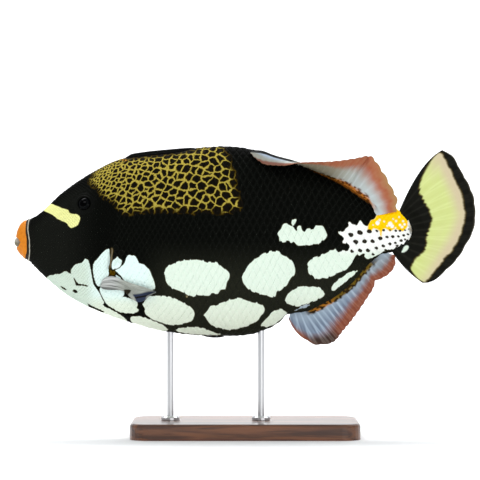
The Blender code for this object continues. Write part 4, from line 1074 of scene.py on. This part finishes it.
def fin_mesh(rays, cells_per_ray, rows, point_at, half):
    """Closed sheet from point_at(along, out), half as thick on each side as half says."""
    mesh, flat = grid_mesh((rays - 1) * cells_per_ray, rows, doubled=True)
    along, out = flat[:, 0], flat[:, 1]
    step = 0.004
    across = point_at(np.minimum(along + step, 1), out) - point_at(np.maximum(along - step, 0), out)
    outward = point_at(along, np.minimum(out + step, 1)) - point_at(along, np.maximum(out - step, 0))
    normal = unit(np.cross(across, outward))
    side = np.where(flat[:, 2] > 0.5, 1.0, -1.0)
    points = point_at(along, out) + normal * (side * half(along, out))[:, None]
    set_points(mesh, points)
    return mesh, along, out, points


def ray_ridge(along, out, rays):
    """1 on a ray's crest, 0 between rays; each ray forks twice on its way out."""
    place = along * (rays - 1)
    off = place - np.rint(place)
    first = 0.17 * ramp(out, 0.25, 0.75)
    second = 0.075 * ramp(out, 0.55, 0.95)
    near = np.full(along.shape, 9.0)
    for one in (-1, 1):
        for two in (-1, 1):
            near = np.minimum(near, np.abs(off + one * first + two * second))
    return hill(near, 0.13 - 0.07 * ramp(out, 0.2, 0.8))


def margin_at(margin, along):
    """Point on a fin's outer edge, from (along, x, z) entries."""
    x = curve([(point[0], point[1]) for point in margin], along)
    z = curve([(point[0], point[2]) for point in margin], along)
    return np.stack((x, np.zeros_like(x), z), -1)


def bent(root, bend, tip, out):
    """Point on the curved ray from root to tip, drawn towards bend."""
    out = out[..., None]
    return root * (1 - out) ** 2 + bend * 2 * out * (1 - out) + tip * out * out


def outline_normal(points, x):
    rise = curve(points, x + 0.5) - curve(points, x - 0.5)
    return unit(np.stack((-rise, np.zeros_like(x), np.ones_like(x)), -1))


def fin_half(along, out, rays, length, root_half):
    """Half thickness: ridged on the rays, fleshy at the root, thin at the edge."""
    thin = 0.2 + 0.32 * ray_ridge(along, out, rays) * (1 - 0.6 * out)
    root = 1 - ramp(out * length, 0.0, 5.0)
    return (thin + (root_half - thin) * root) * (1 - 0.5 * ramp(out, 0.93, 1.0))


def scallop(out, along, rays, length, notch=0.7):
    """Share out along the rays, held back between them so that the edge is wavy."""
    off = np.abs(along * (rays - 1) - np.rint(along * (rays - 1))) * 2
    return out * (1 - notch / np.maximum(length, 4.0) * off ** 2)


FIN_SINK = 0.9  # how deep a fin's root lies in the body
DORSAL_BASE = (6.0, 98.5)
DORSAL_MARGIN = [
    (0.0, 3.9, 212.0), (0.07, 8.2, 207.2), (0.16, 16.0, 202.7), (0.28, 28.1, 202.0),
    (0.4, 41.6, 204.3), (0.55, 62.6, 205.1), (0.68, 80.6, 207.6), (0.78, 93.8, 210.2),
    (0.85, 102.8, 199.7), (0.91, 110.0, 187.0), (0.96, 114.2, 177.0), (1.0, 113.4, 168.2),
]
DORSAL_LENGTH = [
    (0.0, 11.0), (0.07, 17.0), (0.16, 22.0), (0.28, 25.0), (0.4, 27.0), (0.55, 27.4),
    (0.62, 26.4), (0.68, 25.6), (0.73, 26.6), (0.78, 28.6), (0.85, 25.6), (0.91, 21.6),
    (0.96, 18.6), (1.0, 15.2),
]
DORSAL_FLOP = [(0.0, 1.0), (0.5, 1.0), (0.8, 0.0), (1.0, 0.0)]  # how far the fin is laid over
DORSAL_RAYS = 25
DORSAL_RED = [  # how far out each ray the red margin starts
    (0.0, 1.2), (0.06, 1.0), (0.16, 0.82), (0.3, 0.78), (0.5, 0.84), (0.62, 0.72), (0.75, 0.62),
    (0.85, 0.55), (0.95, 0.52), (1.0, 0.52),
]


def dorsal_place(along, out):
    """Fin laid over to the left in front, standing at its top corner and drooping at the rear."""
    x = DORSAL_BASE[0] + (DORSAL_BASE[1] - DORSAL_BASE[0]) * along
    flop = curve(DORSAL_FLOP, along)
    droop = ramp(along, 0.9, 1.0)
    root_z = np.minimum(curve(BACK, x) - 0.02, 178.5 - 1.6 * (x - 90.4))
    root = on_hide(x, root_z, -1, 0.5 * flop * ramp(along, 0.0, 0.08) - FIN_SINK + 0.3 * droop)[0]
    root[:, 1] *= droop
    tip = margin_at(DORSAL_MARGIN, along)
    length = curve(DORSAL_LENGTH, along)
    seen = np.linalg.norm((tip - root)[:, ::2], axis=-1)
    tip[:, 1] = -np.sqrt(np.maximum(length ** 2 - seen ** 2, 0)) * (1 - droop) - 5.0 * droop
    bend = root + (tip - root) * 0.45
    bend[:, 2] += (root[:, 2] - bend[:, 2]) * flop + 2.0 * (1 - flop) * (1 - droop)
    bend[:, 1] -= 0.5 * droop
    notch = 0.7 + 0.5 * ramp(along, 0.7, 0.85)
    return bent(root, bend, tip, scallop(out, along, DORSAL_RAYS, length, notch))


def dorsal_half(along, out):
    root_half = 0.3 + (0.6 * curve(DORSAL_FLOP, along) + 0.6) * ramp(along, 0.0, 0.1)
    return fin_half(along, out, DORSAL_RAYS, curve(DORSAL_LENGTH, along), root_half)


dorsal_mesh, along, out, points = fin_mesh(DORSAL_RAYS, 13, 48, dorsal_place, dorsal_half)
ridge = ray_ridge(along, out, DORSAL_RAYS)
flop = curve(DORSAL_FLOP, along)
uneven = noise_at(along * 70, out * 9, 5)
web = mix_paint(colour(177, 182, 174), colour(200, 207, 206), ridge * 0.75)
lobe = mix_paint(colour(142, 158, 178), colour(122, 122, 112), ramp(out, 0.3, 0.75))
web = mix_paint(web, lobe, ramp(-along, -0.36, -0.2) * 0.9)
tan = ramp(along, 0.3, 0.42) * ramp(-along, -0.78, -0.6) * (0.45 + 0.4 * flop)
web = mix_paint(web, colour(132, 120, 94), tan)
web = mix_paint(web, colour(190, 202, 206), 0.55 * ramp(along, 0.7, 0.9))
red = mix_paint(colour(166, 90, 66), colour(172, 120, 90), np.clip(ridge * 0.2 + uneven * 0.6, 0, 1))
red = mix_paint(red, colour(88, 56, 46), 0.85 * ramp(-along, -0.42, -0.24))
red = mix_paint(red, colour(168, 140, 92), 0.6 * ramp(along, 0.78, 0.9) * ramp(out, 0.7, 1.0))
blur = 0.07 + 0.17 * (1 - flop)
reddened = ramp((out - curve(DORSAL_RED, along)) / blur + 0.35 * uneven, -1.0, 1.0)
dorsal_paint = mix_paint(web, red, reddened)
hem = mix_paint(colour(120, 92, 70), colour(150, 138, 84), ramp(along, 0.76, 0.82))
dorsal_paint = mix_paint(dorsal_paint, hem, 0.6 * ramp(out, 0.955, 1.0) * (1 - 0.4 * ridge))
from_root = out * curve(DORSAL_LENGTH, along)
blotch = noise_at(along * 80, from_root * 0.9, 8)
gold_band = ramp(along, 0.48, 0.6) * ramp(-along, -1.0, -0.93) * ramp(-from_root - 2.4 * blotch, -5.6, -3.6)
base_tone = mix_paint(colour(70, 48, 16), colour(92, 52, 20), ramp(along, 0.6, 0.7))
spot_tone = mix_paint(colour(100, 84, 36), colour(178, 108, 42), ramp(along, 0.62, 0.7))
dotted = mix_paint(base_tone, spot_tone, ramp(blotch, 0.4, 0.62))
dorsal_paint = mix_paint(dorsal_paint, dotted, gold_band)
strip_depth = 1.0 + 2.2 * ramp(-along, -0.14, 0.0)
over_back = points[:, 2] - curve(BACK, points[:, 0]) + strip_depth
ridge_strip = ramp(over_back, -0.3, 0.3) * ramp(-along, -0.42, -0.3)
dorsal_paint = mix_paint(dorsal_paint, colour(9, 10, 9), ridge_strip)
give(dorsal_mesh, "paint", dorsal_paint)
tidy(dorsal_mesh)
fin_look = painted("fin_web", 0.55, specular=0.05)
add_piece("second_dorsal", dorsal_mesh, fin_look, "soft_fins", "soft_dorsal")

ANAL_BASE = (34.0, 107.0)
ANAL_MARGIN = [
    (0.0, 32.6, 88.2), (0.025, 36.9, 79.6), (0.07, 46.0, 71.8), (0.11, 54.0, 68.2),
    (0.17, 64.8, 69.6), (0.33, 73.6, 78.8), (0.48, 81.8, 88.9), (0.65, 91.9, 103.7),
    (0.74, 96.8, 112.0), (0.77, 97.6, 115.8), (0.82, 103.6, 118.5), (0.88, 109.1, 122.5),
    (0.95, 112.9, 129.6), (1.0, 112.9, 136.2),
]
ANAL_RAYS = 21
ANAL_RED = [
    (0.0, 0.72), (0.06, 0.76), (0.12, 0.82), (0.25, 0.7), (0.45, 0.6), (0.7, 0.56), (0.85, 0.58),
    (1.0, 0.55),
]


def anal_ends(along):
    """Root and tip of the ray at a share along the fin."""
    x = ANAL_BASE[0] + (ANAL_BASE[1] - ANAL_BASE[0]) * along
    root = np.stack((x, np.zeros_like(x), curve(BELLY, x)), -1) + outline_normal(BELLY, x) * FIN_SINK
    return root, margin_at(ANAL_MARGIN, along)


def anal_place(along, out):
    root, tip = anal_ends(along)
    bend = (root + tip) / 2 + np.array([0.0, -1.0, -1.5])
    length = np.linalg.norm(tip - root, axis=-1)
    return bent(root, bend, tip, scallop(out, along, ANAL_RAYS, length))


def anal_half(along, out):
    root, tip = anal_ends(along)
    return fin_half(along, out, ANAL_RAYS, np.linalg.norm(tip - root, axis=-1), 0.9)


anal_mesh, along, out, _ = fin_mesh(ANAL_RAYS, 13, 48, anal_place, anal_half)
ridge = ray_ridge(along, out, ANAL_RAYS)
uneven = noise_at(along * 60, out * 9, 6)
streak = ridge ** 0.7 * (0.2 + noise_at(along * 24, out * 2, 15))
broad = np.clip(streak + 0.5 * noise_at(along * 110, out * 3, 18) - 0.15, 0, 1)
web = mix_paint(colour(106, 119, 137), colour(164, 180, 197), broad)
web = mix_paint(web, colour(150, 150, 142), ramp(along, 0.5, 0.9) * 0.45)
web = mix_paint(web, colour(172, 190, 204), ramp(-out, -0.5, -0.05) * 0.55)
red = mix_paint(colour(122, 66, 50), colour(152, 98, 78), np.clip(ridge * 0.5 + uneven * 0.5, 0, 1))
reddened = ramp((out - curve(ANAL_RED, along)) / 0.2 + 0.4 * uneven, -1.0, 1.0)
anal_paint = mix_paint(web, red, reddened)
sooty = ramp(along, 0.05, 0.12) * ramp(-along, -0.34, -0.2) * ramp(out, 0.6, 0.85)
soot = mix_paint(colour(50, 44, 40), colour(104, 96, 88), ridge * 0.8)
anal_paint = mix_paint(anal_paint, soot, sooty * 0.9)
anal_paint = mix_paint(anal_paint, colour(96, 62, 50), 0.6 * ramp(out, 0.96, 1.0) * (1 - 0.6 * ridge))
from_root = out * np.linalg.norm(np.subtract(*anal_ends(along)), axis=-1)
blotch = noise_at(along * 62, from_root * 0.9, 9)
gold_band = ramp(along, 0.12, 0.2) * ramp(-along, -0.95, -0.8) * ramp(-from_root - 1.6 * blotch, -5.0, -3.4)
glowing = ramp(along, 0.16, 0.24) * ramp(-along, -0.5, -0.36)
glow = mix_paint(colour(110, 88, 30), colour(176, 112, 38), glowing)
dotted = mix_paint(colour(48, 36, 14), glow, ramp(blotch, 0.42, 0.62))
anal_paint = mix_paint(anal_paint, dotted, gold_band)
give(anal_mesh, "paint", anal_paint)
tidy(anal_mesh)
add_piece("anal_fin_web", anal_mesh, fin_look, "soft_fins", "anal_fin")

TAIL_ROOT = ((115.9, 169.4), (109.6, 139.4))
TAIL_MARGIN = [
    (0.0, 147.9, 214.5), (0.06, 154.9, 210.8), (0.18, 162.4, 198.3), (0.29, 168.4, 187.5),
    (0.4, 172.3, 175.5), (0.49, 172.9, 164.6), (0.58, 171.2, 153.8), (0.67, 166.1, 144.0),
    (0.76, 160.5, 134.5), (0.86, 151.9, 125.2), (0.97, 136.9, 114.8), (1.0, 133.1, 114.8),
]
TAIL_BOW = ((-0.6, 14.1), (-2.6, -2.8))  # how far the top and the lowest ray bow out, as (x, z)
TAIL_RAYS = 12
TAIL_YELLOW = drawn([
    (437.5, 153.8), (433, 158), (427.5, 167), (423.5, 175), (420, 184), (419.5, 192), (422.5, 197),
    (425, 203), (429.5, 210), (431.7, 219), (429, 228), (427, 236), (426.5, 244), (424, 250.5),
    (418.5, 256.5), (413, 262), (411, 268), (413, 274), (418, 279), (423.5, 281), (428, 278.5),
    (436, 268.3), (445, 256.5), (455.2, 243.5), (462, 227), (463.8, 211), (459.5, 192),
    (451.7, 175), (445, 162), (440.5, 154.5),
])
TAIL_OVAL = drawn([
    (400.8, 252.3), (402, 249.3), (403.5, 246.5), (406, 245.3), (407.9, 246.5), (407, 249.5),
    (404, 252),
])


def tail_ends(along):
    """Root and tip of the ray at a share down the tail."""
    (top_x, top), (low_x, low) = TAIL_ROOT
    root = np.stack((top_x + (low_x - top_x) * along, np.zeros_like(along), top + (low - top) * along), -1)
    return root, margin_at(TAIL_MARGIN, along)


def tail_place(along, out):
    root, tip = tail_ends(along)
    edge = (2 * along - 1) ** 2
    upper, lower = (np.array([bow_x, 0.0, bow_z]) for bow_x, bow_z in TAIL_BOW)
    bow = np.where((along < 0.5)[:, None], upper, lower)
    bend = (root + tip) / 2 + bow * edge[:, None]
    length = np.linalg.norm(tip - root, axis=-1)
    return bent(root, bend, tip, scallop(out, along, TAIL_RAYS, length, notch=0.5))


def tail_half(along, out):
    root, _ = tail_ends(along)
    place = tail_place(along, out)
    thin = 0.24 + 0.22 * ray_ridge(along, out, TAIL_RAYS) * ramp(out, 0.1, 0.3) * (1 - 0.6 * out)
    stalk = on_hide(np.minimum(place[:, 0], REAR_X - 0.1), root[:, 2], 1)[0][:, 1] - 1.1
    fleshy = 1 - ramp(place[:, 0] - curve(SKIN_END, place[:, 2]), 0.5, 14.0)
    return thin + np.maximum(stalk - thin, 0) * fleshy


tail_mesh, along, out, points = fin_mesh(TAIL_RAYS, 16, 90, tail_place, tail_half)
ridge = ray_ridge(along, out, TAIL_RAYS)
uneven = noise_at(along * 40, out * 9, 7)
depth = depth_in(TAIL_YELLOW, points[:, 0], points[:, 2], reach=14.0)
over_middle = points[:, 2] - 165.0
tip_reach = np.where(over_middle < 0, 0.5, 0.42) * np.abs(over_middle)
outer = ramp(points[:, 0] + tip_reach - 147.0, 0.0, 19.0) * ramp(-depth, -14.0, -2.0)
fine = noise_at(along * 120, out * 4, 14)
web = mix_paint(colour(200, 210, 130), colour(214, 224, 150), ridge * 0.45 + uneven * 0.2 + fine * 0.3)
web = mix_paint(web, colour(206, 190, 158), outer * 0.95)
sooty = mix_paint(colour(23, 23, 19), colour(36, 36, 31), ridge * 0.7)
fray = 1.5 * (noise_at(along * 44, out * 3, 16) - 0.5) + 0.7 * (noise_at(along * 120, out * 12, 17) - 0.5)
tail_paint = mix_paint(sooty, colour(86, 72, 34), 0.7 * ramp(depth + fray, -1.6, -0.4))
tail_paint = mix_paint(tail_paint, web, ramp(depth + fray, -0.7, 0.7))
hem = ramp(out, 0.985, 0.995) * ramp(points[:, 0], 140.0, 150.0)
tail_paint = mix_paint(tail_paint, colour(124, 116, 98), 0.6 * hem)
oval = depth_in(TAIL_OVAL, points[:, 0], points[:, 2])
tail_paint = mix_paint(tail_paint, WHITE, ramp(oval, -0.3, 0.3))
give(tail_mesh, "paint", tail_paint)
tidy(tail_mesh)
add_piece("tail_fin_web", tail_mesh, fin_look, "tail_fin", "caudal_fin")

PECTORAL_TOP = [
    (-107.3, 113.6), (-105.4, 117.8), (-102.4, 119.8), (-98.9, 120.4), (-94.9, 119.6),
    (-89.6, 117.5), (-82.1, 115.1), (-73.1, 112.6), (-65.6, 109.7),
]
PECTORAL_BOTTOM = [
    (-107.3, 112.4), (-105.4, 111.0), (-100.9, 110.5), (-94.9, 110.5), (-89.6, 109.6),
    (-86.6, 106.9), (-82.9, 103.9), (-78.4, 102.0), (-74.6, 103.1), (-70.1, 106.9),
    (-65.6, 109.1),
]
PECTORAL_THICKNESS = [(-107.3, 1.2), (-102.0, 2.6), (-95.0, 2.2), (-85.0, 1.1), (-65.6, 0.6)]
PECTORAL_LIFT = [(-107.3, -0.4), (-95.0, 0.0), (-78.0, 2.0), (-65.6, 2.6)]
PECTORAL_ROOT_X, PECTORAL_REACH = -107.3, 41.7
PECTORAL_RAYS = 13
# Painted shadow under the folded blade, in dark navy
PECTORAL_BLADE_SHADOW = drawn([
    (134, 293.8), (140, 293), (148, 291), (157, 290.4), (152, 293.2), (147.5, 295.5), (146, 299),
    (142, 302), (137.5, 301.5), (136, 298), (134.8, 295.8),
])
# Dark brown in the gap between the blade and the lower rays: the skin seen through it and the fin's painted
# shadow on it
PECTORAL_GAP_SKIN_AND_SHADOW = drawn([
    (125.3, 289), (131.6, 289.2), (131, 291.8), (129.3, 293.6), (128.6, 296), (127, 298.8),
    (122.4, 297.6), (124.4, 294), (125.2, 291.5),
])
web_look = painted("pectoral_web", 0.5, specular=0.15)


def pectoral_streak(along, out):
    """Fine fleshy grooves on the lobe that turn into rays on the blade."""
    wander = 1.6 * noise_at(out * 6, along * 2, 11)
    lobe = noise_at(along * 22 + out * 9 + wander, out * 5 + along * 2, 12)
    blade = ray_ridge(along, out, PECTORAL_RAYS)
    return lobe + (blade - lobe) * ramp(out, 0.32, 0.5)


def pectoral_half(along, out):
    thick = curve(PECTORAL_THICKNESS, PECTORAL_ROOT_X + PECTORAL_REACH * out) / 2
    edge = np.sin(math.pi * np.clip(along, 0.03, 0.97)) ** 0.5
    depth = 0.18 + 0.3 * ramp(out, 0.25, 0.5)
    return np.maximum(thick * edge * (1 - depth * (1 - pectoral_streak(along, out))), 0.12)


for side, name in ((-1, "left"), (1, "right")):
    def pectoral_place(along, out):
        """Fin spread over this flank, lifted more and more towards its end."""
        x = PECTORAL_ROOT_X + PECTORAL_REACH * out
        low = curve(PECTORAL_BOTTOM, x)
        z = low + (curve(PECTORAL_TOP, x) - low) * along
        lift = 0.1 + curve(PECTORAL_LIFT, x) + curve(PECTORAL_THICKNESS, x) / 2
        return on_hide(x, z, side, lift)[0]

    pectoral_mesh, along, out, points = fin_mesh(PECTORAL_RAYS, 12, 110, pectoral_place, pectoral_half)
    streak = pectoral_streak(along, out)
    x, z = points[:, 0], points[:, 2]
    # The lobe is painted lighter towards its top and on its ridges and darker in its grooves: partly its own
    # pale tone, partly painted highlight and painted shade.
    fleshy = np.clip(ramp(z, 110.5, 118.5) * 0.45 + streak * 1.1 - 0.3, 0, 1)
    lobe = mix_paint(colour(72, 76, 72), colour(206, 208, 204), fleshy)
    rayed = streak * 0.5 + noise_at(along * 16, out * 8, 13) * 0.5
    blade = mix_paint(colour(126, 128, 120), colour(184, 190, 180), rayed)
    web = mix_paint(lobe, blade, ramp(out, 0.25, 0.45))
    lower = ramp(-z, -105.8, -103.5) * ramp(-x, 78.0, 83.0)
    web = mix_paint(web, colour(150, 152, 138), lower * 0.6)
    # Painted shadow under the folded blade in dark navy, with a black line across it
    blade_shadow = depth_in(PECTORAL_BLADE_SHADOW, x, z)
    web = mix_paint(web, colour(46, 54, 74), ramp(blade_shadow, -0.7, 0.7))
    black_line = ramp(-np.abs(z - 105.0 - 0.18 * (x + 77)), -0.9, -0.4) * ramp(blade_shadow, 0.0, 0.6)
    web = mix_paint(web, colour(12, 12, 16), black_line)
    # The gap's dark skin and painted shadow
    web = mix_paint(web, colour(40, 34, 18), ramp(depth_in(PECTORAL_GAP_SKIN_AND_SHADOW, x, z), -0.3, 0.3))
    give(pectoral_mesh, "paint", web)
    tidy(pectoral_mesh)
    add_piece(f"pectoral_web_{name}", pectoral_mesh, web_look, "pectoral_fins", f"pectoral_{name}")

# Spines
# Rows of small forward-curved spines arm the tail stalk, each in its own dark spot, and a
# rough stub ends the hip bone under the belly. The spines are leaning cones joined into one
# mesh, and the stub is a closed tube with grains.
thorns = bmesh.new()
for side in (-1, 1):
    for across, down, radius in STALK_SPINES:
        (spine_x, spine_z), = drawn([(across, down)])
        height = 0.9 + 0.75 * radius
        root, normal = on_hide(np.array([spine_x]), np.array([spine_z]), side, np.array([-0.3]))
        upward = Vector(normal[0])
        forward = (Vector((-1.0, 0.0, 0.15)) + upward * upward.x).normalized()
        # A stout foot, then a point that starts inside it and leans further forward
        for share, girth, top, lean, raised in ((0.5, 1.0, 0.34, 0.35, 0.0), (0.62, 0.62, 0.04, 1.1, 0.55)):
            direction = (upward + forward * lean).normalized()
            start = Vector(root[0]) + (upward * 0.55 + forward * 0.12) * height * raised
            turn_to = direction.to_track_quat("Z", "Y").to_matrix().to_4x4()
            length = height * share * 1.35
            bmesh.ops.create_cone(
                thorns, cap_ends=True, segments=10, radius1=radius * 0.5 * girth,
                radius2=radius * top * girth, depth=length,
                matrix=Matrix.Translation(start + direction * length / 2) @ turn_to,
            )
bmesh.ops.scale(thorns, vec=(MM, MM, MM), verts=thorns.verts[:])
thorn_mesh = mesh_from(thorns, "thorns")
thorn_look = new_material("thorns", 0.4, specular=0.2, tint=colour(44, 38, 28))[0]
add_piece("stalk_spines", thorn_mesh, thorn_look, "skin")

PELVIC_FRONT, PELVIC_LENGTH = -31.0, 15.5


def pelvic_place(share, turn):
    """Blunt stub along the belly line, rough all over."""
    x = PELVIC_FRONT + PELVIC_LENGTH * share
    taper = np.sin(math.pi * np.clip(share, 0.0, 1.0)) ** 0.6
    depth = 1.1 * taper - 0.5
    half_width = 0.4 + 1.3 * taper
    rough = 1 + 0.16 * np.sin(x * 5.2) * np.cos(turn * 5)
    z = curve(BELLY, x) + 0.4 - (depth + 0.7) * (0.5 - 0.5 * np.sin(turn) * rough)
    return np.stack((x, half_width * np.cos(turn) * rough, z), 1)


pelvic_mesh, _ = tube_mesh(80, 40, pelvic_place)
tidy(pelvic_mesh, weld=1e-6, close=True)
stub_look, stub_tree, stub_shader = new_material("pelvic_stub", 0.5, specular=0.12, tint=colour(24, 24, 22))
grain(stub_tree, stub_shader, 900.0, 0.3)
add_piece("pelvic_stub", pelvic_mesh, stub_look, "skin", "pelvic_spine")

# Stand
# A block of dark stained beech with a satin varnish and two brushed steel rods hold the
# fish up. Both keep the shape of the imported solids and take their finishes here.
wood, wood_tree, wood_shader = new_material("stained_beech", 0.38, coat=0.25)
wood_place = add_node(wood_tree, "ShaderNodeTexCoord").outputs["Object"]
long_way = times(wood_tree, wood_place, (3.0, 30.0, 45.0))
rings = noise_on(wood_tree, long_way, 3.0, 5.0, distortion=1.2).outputs[0]
pores_way = times(wood_tree, wood_place, (40.0, 900.0, 900.0))
pores = noise_on(wood_tree, pores_way, 1.0, 2.0).outputs[0]
stain = blend(wood_tree, smooth_map(wood_tree, rings, 0.35, 0.65), colour(66, 38, 22), colour(112, 68, 40))
pored = maths(wood_tree, "MULTIPLY", smooth_map(wood_tree, pores, 0.52, 0.68), 0.45)
stain = blend(wood_tree, pored, stain, colour(40, 22, 12))
wood_tree.links.new(stain, wood_shader.inputs["Base Color"])
rough_up(wood_tree, wood_shader, pores, 0.12)
steel, steel_tree, steel_shader = new_material(
    "brushed_steel", 0.3, metallic=1.0, tint=(0.62, 0.62, 0.63),
)
steel_place = add_node(steel_tree, "ShaderNodeTexCoord").outputs["Object"]
rubbed = times(steel_tree, steel_place, (3000.0, 3000.0, 60.0))
scratches = noise_on(steel_tree, rubbed, 1.0, 3.0).outputs[0]
rough_up(steel_tree, steel_shader, scratches, 0.08)
for node_name, finish in (("stand_base", wood), ("stand_rod_front", steel), ("stand_rod_rear", steel)):
    node_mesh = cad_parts[node_name].data
    node_mesh.materials.clear()
    node_mesh.materials.append(finish)

# Stage
# Plain pale sweep under and behind the stand, with soft lamps above and in front.
sweep = bmesh.new()
profile = [(-6.0, 0.0), (1.9, 0.0)]
profile += [(1.9 + 0.6 * math.sin(a), 0.6 - 0.6 * math.cos(a)) for a in np.linspace(0.1, math.pi / 2, 12)]
profile.append((2.5, 3.0))
verts = [sweep.verts.new((-5.0, y, z)) for y, z in profile]
edges = [sweep.edges.new(pair) for pair in zip(verts, verts[1:])]
drawn_out = bmesh.ops.extrude_edge_only(sweep, edges=edges)["geom"]
far_verts = [item for item in drawn_out if isinstance(item, bmesh.types.BMVert)]
bmesh.ops.translate(sweep, vec=(10.0, 0.0, 0.0), verts=far_verts)
bmesh.ops.recalc_face_normals(sweep, faces=sweep.faces[:])
sweep_mesh = mesh_from(sweep, "sweep")
paper = new_material("paper", 0.9, specular=0.1, tint=(0.9, 0.9, 0.9))[0]
sweep_mesh.materials.append(paper)
sweep_mesh.shade_smooth()
floor = bpy.data.objects.new("sweep", sweep_mesh)
bpy.context.scene.collection.objects.link(floor)

world = bpy.data.worlds.new("room")
bpy.context.scene.world = world
world.use_nodes = True
background = world.node_tree.nodes["Background"]
background.inputs["Color"].default_value = (0.9, 0.95, 1.0, 1.0)
background.inputs["Strength"].default_value = 0.45


def add_lamp(name, place, target, size, power):
    light = bpy.data.lights.new(name, "AREA")
    light.shape = "RECTANGLE"
    light.size, light.size_y = size
    light.energy = power
    lamp = bpy.data.objects.new(name, light)
    lamp.location = place
    lamp.rotation_euler = (Vector(target) - Vector(place)).to_track_quat("-Z", "Y").to_euler()
    bpy.context.scene.collection.objects.link(lamp)


add_lamp("key", (-0.5, -1.1, 1.3), (0.0, 0.0, 0.14), (0.9, 0.6), 11.5)
add_lamp("fill", (0.8, -1.5, 0.3), (0.0, 0.0, 0.14), (1.0, 0.8), 5.5)
add_lamp("backdrop", (0.0, 0.8, 2.1), (0.0, 1.9, 0.2), (3.0, 0.8), 80.0)

lens = bpy.data.cameras.new("camera")
lens.lens = 180.0
lens.sensor_width = 36.0
camera = bpy.data.objects.new("camera", lens)
camera.location = (-0.0038, -1.8, 0.147)
camera.rotation_euler = (math.pi / 2, 0.0, 0.0)
bpy.context.scene.collection.objects.link(camera)
bpy.context.scene.camera = camera
bpy.context.scene.view_settings.view_transform = "Standard"
